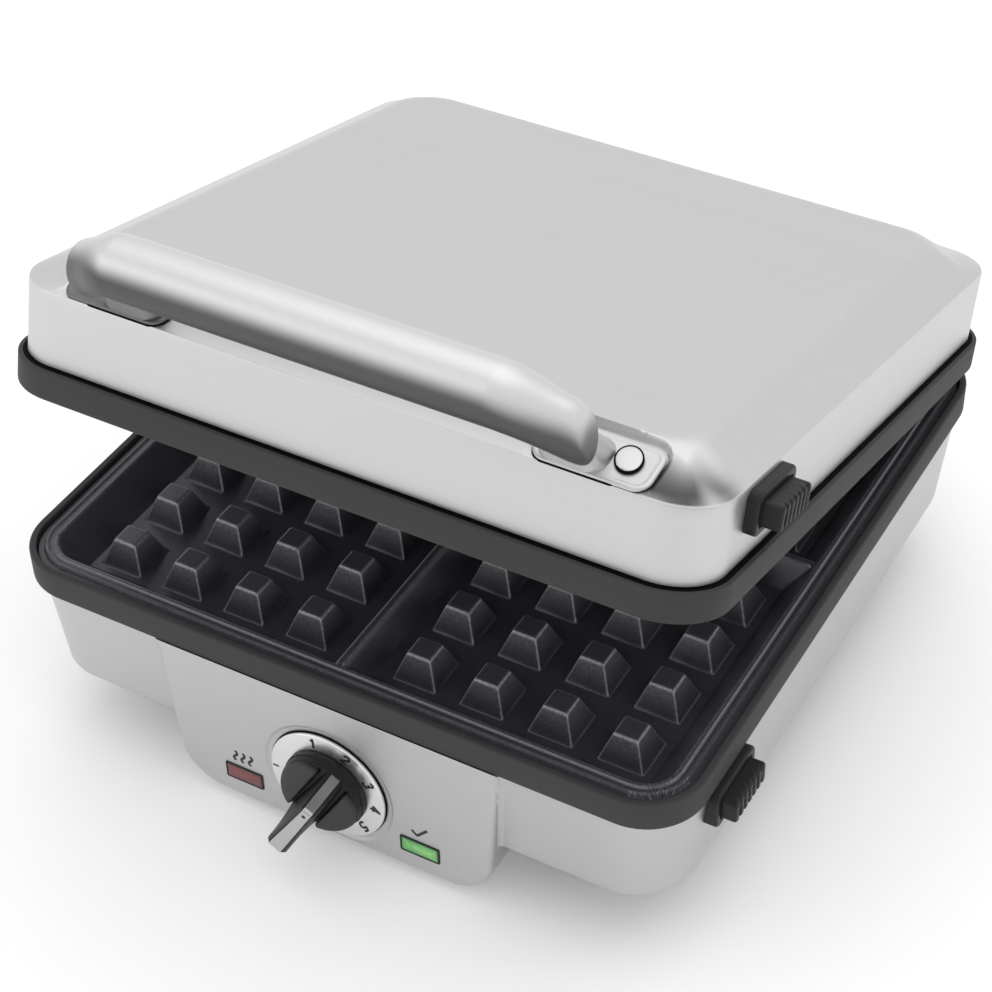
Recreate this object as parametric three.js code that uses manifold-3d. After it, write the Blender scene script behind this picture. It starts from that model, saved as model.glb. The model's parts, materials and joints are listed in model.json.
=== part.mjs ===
// Belgian waffle maker with a hinged lid, two removable grid plates, a thermostat knob and plate releases.
// Millimetres, +Z up, +X to the right, the user stands at -Y.
// While it is built, Z is zero at the base frame's lower edge and X and Y are zero at the frame's middle.
// At the end the whole group is moved so that its origin is the bottom centre of its bounding box.

import * as THREE from 'three';
import { mergeVertices } from 'three/addons/utils/BufferGeometryUtils.js';
import Module from 'manifold-3d';

const wasm = await Module();
wasm.setup();

// Driving dimensions
const frameWidth = 300;
const frameDepth = 300;
const frameCorner = 25;
const baseFrameHeight = 12.5;
const lidFrameHeight = 15.2;
const closedGap = 0.6;
const restOpeningDegrees = 14.8;
const steelSheet = 1.2;
const seatGap = 0.3;
const cutOverrun = 2;
const smallestCorner = 2;
const smallRadius = 7;

// How finely round forms are faceted
const cornerSteps = 4;
const roundSteps = 18;
const smallRoundSteps = 10;
const tubeSides = 6;

// Finishes
const finish = (color, metalness, roughness) => new THREE.MeshStandardMaterial({ color, metalness, roughness });
const brushedSteel = finish(0xc3c5c6, 0.9, 0.38);
const castMetal = finish(0xc9cacb, 0.85, 0.32);
const sheetMetal = finish(0xb9bcbe, 0.9, 0.45);
const darkPlastic = finish(0x4a4a4b, 0, 0.55);
const blackPlastic = finish(0x2b2b2d, 0, 0.5);
const coatedPlate = finish(0x26262a, 0.35, 0.45);
const rubber = finish(0x1d1d1e, 0, 0.85);
const silver = finish(0xd9dadb, 0.8, 0.3);
const redLens = finish(0x9a2f2c, 0, 0.25);
const greenLens = finish(0x63c46a, 0, 0.25);
const glass = finish(0xe8e2d6, 0, 0.1);

// Gives a closed surface to the cutting library
function toSolid(geometry) {
  const bare = geometry.clone();
  bare.deleteAttribute('normal');
  bare.deleteAttribute('uv');
  const welded = mergeVertices(bare);
  return new wasm.Manifold(new wasm.Mesh({
    numProp: 3,
    vertProperties: new Float32Array(welded.attributes.position.array),
    triVerts: new Uint32Array(welded.index.array),
  }));
}

// Takes a solid back from the cutting library
function toGeometry(solid) {
  const mesh = solid.getMesh();
  const geometry = new THREE.BufferGeometry();
  geometry.setAttribute('position', new THREE.BufferAttribute(mesh.vertProperties, 3));
  geometry.setIndex(new THREE.BufferAttribute(mesh.triVerts, 1));
  return geometry;
}

const join = (...parts) => toGeometry(parts.map(toSolid).reduce((sum, part) => sum.add(part)));
const cut = (body, ...tools) => toGeometry(tools.map(toSolid).reduce((left, tool) => left.subtract(tool), toSolid(body)));

// Points round a rectangle with round corners, anticlockwise seen from above
function roundedLoop(halfX, halfY, radius, z, centreX = 0, centreY = 0) {
  const signs = [[1, -1], [1, 1], [-1, 1], [-1, -1]];
  const loop = [];
  signs.forEach(([signX, signY], quarter) => {
    for (let step = 0; step <= cornerSteps; step++) {
      const angle = (quarter - 1 + step / cornerSteps) * Math.PI / 2;
      const x = centreX + signX * (halfX - radius) + radius * Math.cos(angle);
      const y = centreY + signY * (halfY - radius) + radius * Math.sin(angle);
      loop.push(new THREE.Vector3(x, y, z));
    }
  });
  return loop;
}

// Closed solid through a stack of loops with equal counts, listed from the lowest to the highest
function loft(loops) {
  const count = loops[0].length;
  const index = [];
  for (let ring = 0; ring < loops.length - 1; ring++) {
    for (let i = 0; i < count; i++) {
      const a = ring * count + i;
      const b = ring * count + (i + 1) % count;
      index.push(a, b, b + count, a, b + count, a + count);
    }
  }
  const last = (loops.length - 1) * count;
  for (let i = 1; i < count - 1; i++) {
    index.push(0, i + 1, i, last, last + i, last + i + 1);
  }
  const geometry = new THREE.BufferGeometry().setFromPoints(loops.flat());
  geometry.setIndex(index);
  return geometry;
}

// Loop that follows the frames' outline at a distance inside it
function frameLoop(inset, z) {
  const radius = Math.max(frameCorner - inset, smallestCorner);
  return roundedLoop(frameWidth / 2 - inset, frameDepth / 2 - inset, radius, z);
}

const prism = (inset, z0, z1) => loft([frameLoop(inset, z0), frameLoop(inset, z1)]);

// Box between two corners
function block(x0, x1, y0, y1, z0, z1) {
  const geometry = new THREE.BoxGeometry(x1 - x0, y1 - y0, z1 - z0);
  return geometry.translate((x0 + x1) / 2, (y0 + y1) / 2, (z0 + z1) / 2);
}

// Round bar between two points
function rod(radius, from, to) {
  const along = to.clone().sub(from);
  const steps = radius > smallRadius ? roundSteps : smallRoundSteps;
  const geometry = new THREE.CylinderGeometry(radius, radius, along.length(), steps);
  geometry.applyQuaternion(new THREE.Quaternion().setFromUnitVectors(
    new THREE.Vector3(0, 1, 0), along.normalize()));
  const middle = from.clone().add(to).multiplyScalar(0.5);
  return geometry.translate(middle.x, middle.y, middle.z);
}

const at = (x, y, z) => new THREE.Vector3(x, y, z);

// Outline given in Y and Z, carried along X
function alongX(shape, x0, x1) {
  const geometry = new THREE.ExtrudeGeometry(shape, { depth: x1 - x0, bevelEnabled: false, curveSegments: cornerSteps });
  geometry.applyMatrix4(new THREE.Matrix4().makeBasis(at(0, 1, 0), at(0, 0, 1), at(1, 0, 0)));
  return geometry.translate(x0, 0, 0);
}

// Outline given in X and Z, carried along Y
function alongY(shape, y0, y1) {
  const geometry = new THREE.ExtrudeGeometry(shape, { depth: y1 - y0, bevelEnabled: false, curveSegments: cornerSteps });
  geometry.rotateX(Math.PI / 2);
  return geometry.translate(0, y1, 0);
}

// Outline given in X and Y, carried along Z
function alongZ(shape, z0, z1) {
  const geometry = new THREE.ExtrudeGeometry(shape, { depth: z1 - z0, bevelEnabled: false, curveSegments: cornerSteps });
  return geometry.translate(0, 0, z0);
}

// Rectangle with round corners as an outline
function roundedShape(u0, u1, v0, v1, radius) {
  const shape = new THREE.Shape();
  shape.absarc(u1 - radius, v0 + radius, radius, -Math.PI / 2, 0);
  shape.absarc(u1 - radius, v1 - radius, radius, 0, Math.PI / 2);
  shape.absarc(u0 + radius, v1 - radius, radius, Math.PI / 2, Math.PI);
  shape.absarc(u0 + radius, v0 + radius, radius, Math.PI, 1.5 * Math.PI);
  return shape;
}

// Solid turned about Y from a profile of radius and reach, which runs from one end of the axis to the other
function turnedAboutY(profile) {
  const points = profile.map(([radius, reach]) => new THREE.Vector2(radius, reach));
  const largest = Math.max(...profile.map(([radius]) => radius));
  return new THREE.LatheGeometry(points, largest > smallRadius ? roundSteps : smallRoundSteps);
}

// The same piece upside down, with its faces still outwards
function upsideDown(geometry) {
  const flipped = toGeometry(toSolid(geometry));
  flipped.scale(1, 1, -1);
  const index = flipped.index.array;
  for (let i = 0; i < index.length; i += 3) {
    [index[i], index[i + 1]] = [index[i + 1], index[i]];
  }
  return flipped;
}

const group = new THREE.Group();

function add(parent, name, geometry, material) {
  const mesh = new THREE.Mesh(geometry, material);
  mesh.name = name;
  parent.add(mesh);
}

// The lid turns about the hinge axis, and its pieces are built as they lie when it is closed.
// In the lid Z is zero at the lid frame's lower edge.
const hingeBehindFrame = 12;
const hingeAxisZ = 6;
const hingeAxisY = frameDepth / 2 + hingeBehindFrame;
const lidPivot = new THREE.Group();
lidPivot.position.set(0, hingeAxisY, hingeAxisZ);
lidPivot.rotation.x = -THREE.MathUtils.degToRad(restOpeningDegrees);
const lid = new THREE.Group();
lid.position.set(0, -hingeAxisY, baseFrameHeight + closedGap - hingeAxisZ);
lidPivot.add(lid);
group.add(lidPivot);

// A piece that is alike in base and lid is built in the lid's way, with its depth counted from the face
// where the two halves meet. In the base it hangs upside down from the top of the base frame.
function addToBase(name, geometry, material) {
  add(group, name, upsideDown(geometry).translate(0, 0, baseFrameHeight), material);
}

// Grid plate: a flange that rests on the frame, a raised lip, a sloping well, pyramids and a divider cross
const plateRecess = 0.5;
const flangeDrop = 2;
const flangeThickness = 2.5;
const flangeSideGap = 0.7;
const frameRim = 3;
const lipInset = 6.2;
const lipWidth = 5.3;
const lipGrooveWidth = 2.3;
const lipGrooveDepth = 0.8;
const wellDepth = 14;
const wellWallRun = 11.5;
const plateWall = 3;
const plateFloor = 4;
const pyramidCount = 4;
const pyramidHeight = 12;
const pyramidFoot = 19;
const pyramidCrown = 10.2;
const pyramidWallGap = 4;
const dividerFoot = 16;
const dividerCrest = 3;
const dividerGutter = 7.2;

const lipFace = plateRecess;
const flangeFace = lipFace + flangeDrop;
const flangeBack = flangeFace + flangeThickness;
const wellFloor = lipFace + wellDepth;
const panBack = wellFloor + plateFloor;
const wellMouthInset = lipInset + lipWidth;
const wellFloorInset = wellMouthInset + wellWallRun;
const panInset = wellFloorInset - plateWall / 2;

// Rectangle as a loop, half as wide and deep as given
function squareLoop(halfX, halfY, x, y, z) {
  return [at(x + halfX, y - halfY, z), at(x + halfX, y + halfY, z), at(x - halfX, y + halfY, z), at(x - halfX, y - halfY, z)];
}

function pyramid(x, y) {
  const foot = pyramidFoot / 2;
  const crown = pyramidCrown / 2;
  return loft([
    squareLoop(crown, crown, x, y, wellFloor - pyramidHeight),
    squareLoop(foot, foot, x, y, wellFloor),
    squareLoop(foot, foot, x, y, wellFloor + plateFloor / 2),
  ]);
}

// Centres of the pyramids along one direction, spread evenly from the divider's gutter to the well's wall
function pyramidCentres(halfFrame) {
  const first = dividerFoot / 2 + dividerGutter + pyramidFoot / 2;
  const last = halfFrame - wellFloorInset - pyramidWallGap - pyramidFoot / 2;
  const centres = [];
  for (let i = 0; i < pyramidCount; i++) {
    const centre = first + (last - first) * i / (pyramidCount - 1);
    centres.push(centre, -centre);
  }
  return centres;
}

// Bar of the divider cross, with sloping sides, as long as the middle of the well's walls
function divider(alongDepth) {
  const reach = (alongDepth ? frameDepth : frameWidth) / 2 - wellMouthInset - wellWallRun / 2;
  const loop = (half, z) => {
    const [halfX, halfY] = alongDepth ? [half, reach] : [reach, half];
    return squareLoop(halfX, halfY, 0, 0, z);
  };
  return loft([
    loop(dividerCrest / 2, wellFloor - pyramidHeight),
    loop(dividerFoot / 2, wellFloor),
    loop(dividerFoot / 2, wellFloor + plateFloor / 2),
  ]);
}

// Catch leg on the plate's back at each side. The right one is held by the sliding latch.
const lowerLatchSetback = 46;
const upperLatchSetback = 50;
const lowerLatchY = lowerLatchSetback - frameDepth / 2;
const upperLatchY = upperLatchSetback - frameDepth / 2;
const legInset = 1.5;
const legThickness = 3;
const legLength = 9;
const legWidth = 12;
const barbReach = 2.5;
const legOuter = frameWidth / 2 - panInset - legInset;
const legInner = legOuter - legThickness;
const legEnd = panBack + legLength;

function catchLeg(side, barbSide, latchY) {
  const face = side * (barbSide < 0 ? legInner : legOuter);
  const tip = face + side * barbSide * barbReach;
  const sorted = (a, b) => [Math.min(a, b), Math.max(a, b)];
  const y = [latchY - legWidth / 2, latchY + legWidth / 2];
  const root = panBack - plateFloor / 2;
  const leg = block(...sorted(side * legInner, side * legOuter), ...y, root, legEnd);
  const overlap = face - side * barbSide * legThickness / 2;
  return join(leg, block(...sorted(overlap, tip), ...y, legEnd - barbReach, legEnd));
}

function gridPlate(latchY) {
  const flange = prism(frameRim + flangeSideGap, flangeFace, flangeBack);
  const lip = prism(lipInset, lipFace, flangeFace + flangeThickness / 2);
  const pan = loft([
    frameLoop(wellMouthInset - plateWall, flangeFace + flangeThickness / 2),
    frameLoop(wellMouthInset - plateWall, flangeBack),
    frameLoop(panInset, panBack),
  ]);
  const well = loft([
    frameLoop(wellMouthInset, lipFace - cutOverrun),
    frameLoop(wellMouthInset, lipFace),
    frameLoop(wellFloorInset, wellFloor),
  ]);
  const grooveInset = lipInset + (lipWidth - lipGrooveWidth) / 2;
  const groove = cut(
    prism(grooveInset, lipFace - cutOverrun, lipFace + lipGrooveDepth),
    prism(grooveInset + lipGrooveWidth, lipFace - 2 * cutOverrun, lipFace + 2 * cutOverrun));
  const rows = pyramidCentres(frameDepth / 2);
  const pyramids = pyramidCentres(frameWidth / 2).flatMap((x) => rows.map((y) => pyramid(x, y)));
  const dish = cut(join(flange, lip, pan), well, groove);
  return join(dish, ...pyramids, divider(false), divider(true), catchLeg(1, -1, latchY), catchLeg(-1, 1, latchY));
}

// Frames: an outer rim, a ledge that the plate's flange rests on, and a rib that locates the steel shell
const ledgeInset = 7.7;
const ledgeThickness = 2.5;
const frameEdge = 0.8;
const shelfThickness = 2;
const ribThickness = 1.6;
const ledgeFace = flangeBack + seatGap;
const ledgeBack = ledgeFace + ledgeThickness;

function frameRing(height) {
  const outer = loft([frameLoop(frameEdge, 0), frameLoop(0, frameEdge), frameLoop(0, height)]);
  return cut(outer,
    prism(frameRim, -cutOverrun, ledgeFace),
    prism(ledgeInset, -cutOverrun, height + cutOverrun),
    prism(frameRim, ledgeBack, height - shelfThickness));
}

// Upright wall that follows an outline, such as frameLoop, at a distance inside it
function ring(loop, inset, thickness, z0, z1) {
  const inner = inset + thickness;
  return cut(
    loft([loop(inset, z0), loop(inset, z1)]),
    loft([loop(inner, z0 - cutOverrun), loop(inner, z1 + cutOverrun)]));
}

// Base housing: tapered steel skirt with the control console pressed out of its front
const housingTopInset = 1.5;
const housingToeInset = 6;
const housingHeight = 47;
const housingCorner = 31;
const consoleProud = 0.5;
const consoleDepth = 40;
const consoleDrop = 27;
const consoleHeight = housingHeight + consoleDrop;
const consoleTopWidth = 154;
const consoleFootWidth = 142;
const consoleCorner = 20;
const consoleFront = -frameDepth / 2 - consoleProud;
const consoleBack = consoleFront + consoleDepth;

function housingLoop(inset, z) {
  const radius = Math.max(housingCorner - inset, smallestCorner);
  return roundedLoop(frameWidth / 2 - inset, frameDepth / 2 - inset, radius, z);
}

// Distance of the skirt's outer face inside the frames' outline, at a height
function skirtInset(z) {
  return housingTopInset + (housingToeInset - housingTopInset) * -z / housingHeight;
}

function skirt(offset, z0, z1) {
  return loft([housingLoop(skirtInset(z0) + offset, z0), housingLoop(skirtInset(z1) + offset, z1)]);
}

// Front view of the console: straight top, sides that draw in towards round lower corners
function consoleShape(offset, top) {
  const shape = new THREE.Shape();
  const foot = -consoleHeight + offset;
  const radius = consoleCorner - offset;
  const lean = Math.atan((consoleTopWidth - consoleFootWidth) / 2 / consoleHeight);
  const topHalf = consoleTopWidth / 2 - offset + top * Math.tan(lean);
  const arcCentre = topHalf - (top - foot - radius) * Math.tan(lean) - radius / Math.cos(lean);
  shape.moveTo(topHalf, top);
  shape.lineTo(-topHalf, top);
  shape.absarc(-arcCentre, foot + radius, radius, Math.PI + lean, 1.5 * Math.PI);
  shape.absarc(arcCentre, foot + radius, radius, 1.5 * Math.PI, 2 * Math.PI - lean);
  return shape;
}

// Dial and indicators on the console's face
const dialZ = -44;
const dialDishRadius = 29.5;
const dialDishDepth = 0.8;
const dialDishMargin = 2;
const thermostatHole = 6;
const indicatorX = 41;
const indicatorZ = -60;
const lensWidth = 16.4;
const lensHeight = 7;
const lensFrameBorder = 1;
const lensFrameWidth = lensWidth + 2 * (seatGap + lensFrameBorder);
const lensFrameHeight = lensHeight + 2 * (seatGap + lensFrameBorder);

// Release buttons on the right side
const buttonLength = 26;
const buttonHeight = 10;
const buttonProud = 8.6;
const buttonOuterX = frameWidth / 2 + buttonProud;
const buttonTravel = 3;
const buttonStopBorder = 2;
const buttonStopThickness = 2;
const buttonSideGap = 0.4;
const latchThickness = 2.5;
const latchNear = legEnd - barbReach - seatGap - latchThickness;
const latchMiddle = latchNear + latchThickness / 2;
const lowerButtonZ = baseFrameHeight - latchMiddle;
const upperButtonZ = 33;

// Opening for a button in a wall on the right side
function buttonHole(latchY, z, extra) {
  const halfLength = buttonLength / 2 + extra;
  const halfHeight = buttonHeight / 2 + extra;
  const inside = frameWidth / 2 - ledgeInset - wellWallRun;
  return block(inside, buttonOuterX + cutOverrun, latchY - halfLength, latchY + halfLength,
    z - halfHeight, z + halfHeight);
}

// Cord gland and hinge places on the rear
const glandX = -62;
const glandZ = -26;
const glandSleeveRadius = 6.5;
const glandFlangeRadius = 9;
const glandFlange = 2.5;
const glandBore = 3.6;

// Tabs inside the skirt's toe that the bottom cover is screwed to
const bottomSheet = 2.5;
const toeTabLength = 14;
const toeTabWidth = 18;
const toeTabSetback = 62;
const screwRadius = 2;

const toeTabPlaces = [[-1, -1], [1, -1], [1, 1], [-1, 1]];

function toeTab([signX, signY]) {
  const top = -housingHeight + bottomSheet + seatGap + steelSheet;
  const outer = frameWidth / 2 - housingToeInset - steelSheet / 2;
  const inner = outer - toeTabLength;
  const y = signY * (frameDepth / 2 - toeTabSetback);
  const x = [signX * inner, signX * outer].sort((a, b) => a - b);
  return block(...x, y - toeTabWidth / 2, y + toeTabWidth / 2, top - steelSheet, top);
}

function screwPlace([signX, signY]) {
  const x = signX * (frameWidth / 2 - housingToeInset - steelSheet - toeTabLength / 2);
  return [x, signY * (frameDepth / 2 - toeTabSetback)];
}

function baseHousing() {
  const top = -seatGap;
  const outer = join(
    skirt(0, -housingHeight, top),
    alongY(consoleShape(0, top), consoleFront, consoleBack));
  const inner = join(
    skirt(steelSheet, -housingHeight - cutOverrun, top + cutOverrun),
    alongY(consoleShape(steelSheet, top + cutOverrun), consoleFront + steelSheet, consoleBack - steelSheet));
  const dishBack = consoleFront + steelSheet + dialDishDepth;
  const backing = rod(dialDishRadius + dialDishMargin,
    at(0, consoleFront + steelSheet / 2, dialZ), at(0, dishBack, dialZ));
  const dish = rod(dialDishRadius, at(0, consoleFront - cutOverrun, dialZ),
    at(0, consoleFront + dialDishDepth, dialZ));
  const shaftHole = rod(thermostatHole, at(0, consoleFront - cutOverrun, dialZ),
    at(0, dishBack + cutOverrun, dialZ));
  const windows = [-1, 1].map((side) => indicatorBlock(side, lensFrameWidth, lensFrameHeight, seatGap,
    consoleFront - cutOverrun, consoleFront + steelSheet + cutOverrun));
  const rear = frameDepth / 2 - skirtInset(glandZ);
  const glandHole = rod(glandSleeveRadius + seatGap,
    at(glandX, rear - steelSheet - cutOverrun, glandZ), at(glandX, rear + cutOverrun, glandZ));
  const tabs = toeTabPlaces.map(toeTab);
  const tabHoles = toeTabPlaces.map((place) => {
    const [x, y] = screwPlace(place);
    return rod(screwRadius + seatGap, at(x, y, -housingHeight - cutOverrun), at(x, y, -housingHeight / 2));
  });
  const shell = join(cut(outer, inner), backing, ...tabs);
  return cut(shell, dish, shaftHole, ...windows, glandHole, buttonHole(lowerLatchY, lowerButtonZ, buttonSideGap), ...tabHoles);
}

// Box centred on an indicator, larger than the given size by extra on each side
function indicatorBlock(side, width, height, extra, y0, y1) {
  const x = side * indicatorX;
  return block(x - width / 2 - extra, x + width / 2 + extra, y0, y1,
    indicatorZ - height / 2 - extra, indicatorZ + height / 2 + extra);
}

add(group, 'base_housing', baseHousing(), brushedSteel);

// Base frame, with a rib inside the top of the skirt that leaves room for the release button's stop
const baseRibLength = 6;

function baseFrame() {
  const ribInset = skirtInset(-seatGap - baseRibLength) + steelSheet + seatGap;
  const shelfBack = baseFrameHeight - shelfThickness;
  const rib = ring(housingLoop, ribInset, ribThickness, shelfBack, baseFrameHeight + baseRibLength);
  const openingInset = ribInset + ribThickness;
  const opening = loft([
    housingLoop(openingInset, ledgeBack),
    housingLoop(openingInset, baseFrameHeight + cutOverrun),
  ]);
  const body = join(cut(frameRing(baseFrameHeight), prism(ribInset, shelfBack, baseFrameHeight + cutOverrun)), rib);
  const shelf = cut(prism(frameEdge, shelfBack, baseFrameHeight), opening);
  const room = buttonHole(lowerLatchY, latchMiddle, buttonStopBorder + 2 * buttonSideGap);
  const belowShelf = block(0, frameWidth, lowerLatchY - frameDepth, lowerLatchY + frameDepth,
    -cutOverrun, baseFrameHeight + seatGap);
  return cut(join(body, shelf), cut(room, belowShelf));
}

addToBase('base_frame', baseFrame(), darkPlastic);
addToBase('lower_plate', gridPlate(lowerLatchY), coatedPlate);

// Heater tray: a tapered pan of bright sheet under the plate, hung from the frame's ledge
const trayFlangeInset = 5.6;
const trayMouthInset = 7.5;
const trayFloorInset = 26;
const trayDepth = 30;
const traySheet = 1.2;
const trayTop = ledgeBack + seatGap;
const trayEnd = trayTop + trayDepth;
const elementRadius = 3.25;
const elementDepth = panBack + seatGap + elementRadius;
const elementTerminalX = 24;
const latchWidth = 14;
const latchSlotGap = 1;

// Distance of the tray's outer wall inside the outline, at a depth
function trayInset(depth) {
  return trayMouthInset + (trayFloorInset - trayMouthInset) * (depth - trayTop) / trayDepth;
}

function heaterTray(latchY) {
  const flange = prism(trayFlangeInset, trayTop, trayTop + traySheet);
  const pan = loft([frameLoop(trayMouthInset, trayTop), frameLoop(trayFloorInset, trayEnd)]);
  const inside = loft([
    frameLoop(trayInset(trayTop - cutOverrun) + traySheet, trayTop - cutOverrun),
    frameLoop(trayInset(trayEnd - traySheet) + traySheet, trayEnd - traySheet),
  ]);
  const halfSlot = latchWidth / 2 + latchSlotGap;
  const wallX = frameWidth / 2 - trayInset(latchMiddle);
  const slot = block(wallX - traySheet - 2 * latchSlotGap - cutOverrun, frameWidth / 2,
    latchY - halfSlot, latchY + halfSlot,
    latchNear - latchSlotGap, latchNear + latchThickness + latchSlotGap);
  const hookX = -(frameWidth / 2 - trayInset(legEnd));
  const hookSlot = block(hookX - cutOverrun, hookX + traySheet + 2 * latchSlotGap + cutOverrun,
    latchY - halfSlot, latchY + halfSlot, legEnd - barbReach - latchSlotGap, legEnd + latchSlotGap);
  const rearY = frameDepth / 2 - trayInset(elementDepth);
  const terminalHoles = [-1, 1].map((side) => rod(elementRadius + latchSlotGap,
    at(side * elementTerminalX, rearY - traySheet - 2 * cutOverrun, elementDepth),
    at(side * elementTerminalX, rearY + 2 * cutOverrun, elementDepth)));
  return cut(join(flange, pan), inside, slot, hookSlot, ...terminalHoles);
}

addToBase('lower_heater_tray', heaterTray(lowerLatchY), sheetMetal);

// Heating element: one sheathed loop under the plate, both ends out through the tray's rear wall
const elementSideInset = 52;
const elementBend = 20;
const elementRearInset = 42;
const elementFrontInset = 46;
const elementTailReach = 6;
const elementStepsAlong = 44;

function roundedPath(corners, radius) {
  const path = new THREE.CurvePath();
  let start = corners[0];
  for (let i = 1; i < corners.length - 1; i++) {
    const corner = corners[i];
    const before = corner.clone().add(corners[i - 1].clone().sub(corner).setLength(radius));
    const after = corner.clone().add(corners[i + 1].clone().sub(corner).setLength(radius));
    path.add(new THREE.LineCurve3(start, before));
    path.add(new THREE.QuadraticBezierCurve3(before, corner, after));
    start = after;
  }
  path.add(new THREE.LineCurve3(start, corners[corners.length - 1]));
  return path;
}

// Round tube with closed ends along a path
function tube(path, radius, steps, sides = tubeSides) {
  const section = new THREE.Shape();
  for (let i = 0; i < sides; i++) {
    const angle = 2 * Math.PI * i / sides;
    const point = [radius * Math.cos(angle), radius * Math.sin(angle)];
    if (i === 0) {
      section.moveTo(...point);
    } else {
      section.lineTo(...point);
    }
  }
  return new THREE.ExtrudeGeometry(section, { steps, extrudePath: path, bevelEnabled: false });
}

function heatingElement() {
  const x = frameWidth / 2 - elementSideInset;
  const front = elementFrontInset - frameDepth / 2;
  const rear = frameDepth / 2 - elementRearInset;
  const tail = frameDepth / 2 - trayInset(elementDepth) + elementTailReach;
  const z = elementDepth;
  return tube(roundedPath([at(-elementTerminalX, tail, z), at(-elementTerminalX, rear, z), at(-x, rear, z),
    at(-x, front, z), at(x, front, z), at(x, rear, z), at(elementTerminalX, rear, z),
    at(elementTerminalX, tail, z)], elementBend), elementRadius, elementStepsAlong);
}

// Racks: upright strips on the tray's floor with a saddle at each end for the element
const rackThickness = 1.5;
const rackSpacing = 90;
const rackEndMargin = 7;
const rackWindowHeight = 5;
const rackFootHeight = 3;

function elementRack(y) {
  const saddleX = frameWidth / 2 - elementSideInset;
  const half = saddleX + rackEndMargin;
  const floor = trayEnd - traySheet - seatGap;
  const strip = block(-half, half, y - rackThickness / 2, y + rackThickness / 2, elementDepth, floor);
  const window = block(-saddleX + rackEndMargin, saddleX - rackEndMargin, y - rackThickness, y + rackThickness,
    elementDepth - cutOverrun, floor - rackFootHeight);
  const saddles = [-1, 1].map((side) => rod(elementRadius + seatGap,
    at(side * saddleX, y - rackThickness, elementDepth), at(side * saddleX, y + rackThickness, elementDepth)));
  const wide = 2 * rackEndMargin;
  const stiffener = block(-saddleX + wide, saddleX - wide, y - rackThickness / 2, y + rackThickness / 2,
    floor - rackFootHeight - rackWindowHeight, floor - rackFootHeight / 2);
  return join(cut(strip, window, ...saddles), stiffener);
}

addToBase('lower_heating_element', heatingElement(), sheetMetal);
addToBase('lower_rack_front', elementRack(-rackSpacing / 2), sheetMetal);
addToBase('lower_rack_rear', elementRack(rackSpacing / 2), sheetMetal);

// Bottom cover: a flat margin inside the skirt's toe and a shallow tub that holds the feet
const tubInset = 26;
const tubDraft = 4;
const tubDepth = 19;
const tubWall = 2.5;
const tubCorner = 18;
const tubFrontGap = 3;
const ventCount = 6;
const ventWidth = 5;
const ventLength = 60;
const ventPitch = 14;
const footHeight = 12;
const footTopRadius = 11;
const footTreadRadius = 9.5;
const footStemRadius = 3;
const footStemLength = 7;
const footSetback = 20;
const footFloor = -housingHeight - tubDepth - footHeight;

function tubLoop(inset, z) {
  const front = consoleBack + tubFrontGap + inset;
  const back = frameDepth / 2 - tubInset - inset;
  const radius = Math.max(tubCorner - inset, smallestCorner);
  return roundedLoop(frameWidth / 2 - tubInset - inset, (back - front) / 2, radius, z, 0, (back + front) / 2);
}

const tubFloorZ = -housingHeight - tubDepth;
const footPlaces = { front_left: [-1, -1], front_right: [1, -1], rear_left: [-1, 1], rear_right: [1, 1] };

function footPlace([signX, signY]) {
  const front = consoleBack + tubFrontGap + tubDraft + footSetback;
  const back = frameDepth / 2 - tubInset - tubDraft - footSetback;
  return [signX * (frameWidth / 2 - tubInset - tubDraft - footSetback), signY < 0 ? front : back];
}

function bottomCover() {
  const top = -housingHeight + bottomSheet;
  const marginInset = housingToeInset + steelSheet + seatGap;
  const margin = loft([housingLoop(marginInset, -housingHeight), housingLoop(marginInset, top)]);
  const tub = loft([tubLoop(tubDraft, tubFloorZ), tubLoop(0, -housingHeight), tubLoop(0, top)]);
  const hollow = loft([
    tubLoop(tubDraft + tubWall, tubFloorZ + tubWall),
    tubLoop(tubWall, -housingHeight),
    tubLoop(tubWall, top + cutOverrun),
  ]);
  const consoleRoom = block(-frameWidth, frameWidth, consoleFront - cutOverrun, consoleBack + seatGap,
    -consoleHeight, 0);
  const consoleWidthRoom = alongY(consoleShape(-seatGap, 0), consoleFront - cutOverrun, consoleBack + seatGap);
  const screwHoles = toeTabPlaces.map((place) => {
    const [x, y] = screwPlace(place);
    return rod(screwRadius + seatGap, at(x, y, -housingHeight - cutOverrun), at(x, y, top + cutOverrun));
  });
  const stemHoles = Object.values(footPlaces).map((place) => {
    const [x, y] = footPlace(place);
    return rod(footStemRadius + seatGap, at(x, y, tubFloorZ - cutOverrun), at(x, y, tubFloorZ + tubWall + cutOverrun));
  });
  const vents = [];
  for (let i = 0; i < ventCount; i++) {
    const x = (i - (ventCount - 1) / 2) * ventPitch;
    vents.push(block(x - ventWidth / 2, x + ventWidth / 2, -ventLength / 2, ventLength / 2,
      tubFloorZ - cutOverrun, tubFloorZ + tubWall + cutOverrun));
  }
  const tubFront = cut(tub, consoleRoom);
  return cut(join(margin, tubFront), hollow, consoleWidthRoom, ...screwHoles, ...stemHoles, ...vents);
}

add(group, 'bottom_cover', bottomCover(), blackPlastic);

// Solid of revolution about an upright axis through x, y
function turnedUpright(profile, x, y) {
  return turnedAboutY(profile).rotateX(Math.PI / 2).translate(x, y, 0);
}

const treadEdge = 1.5;
for (const [name, place] of Object.entries(footPlaces)) {
  const [x, y] = footPlace(place);
  const top = tubFloorZ - seatGap;
  const foot = turnedUpright([
    [0, footFloor], [footTreadRadius - treadEdge, footFloor], [footTreadRadius, footFloor + treadEdge],
    [footTopRadius, top], [footStemRadius, top], [footStemRadius, top + footStemLength],
    [0, top + footStemLength],
  ], x, y);
  add(group, `foot_${name}`, foot, rubber);
}

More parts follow.
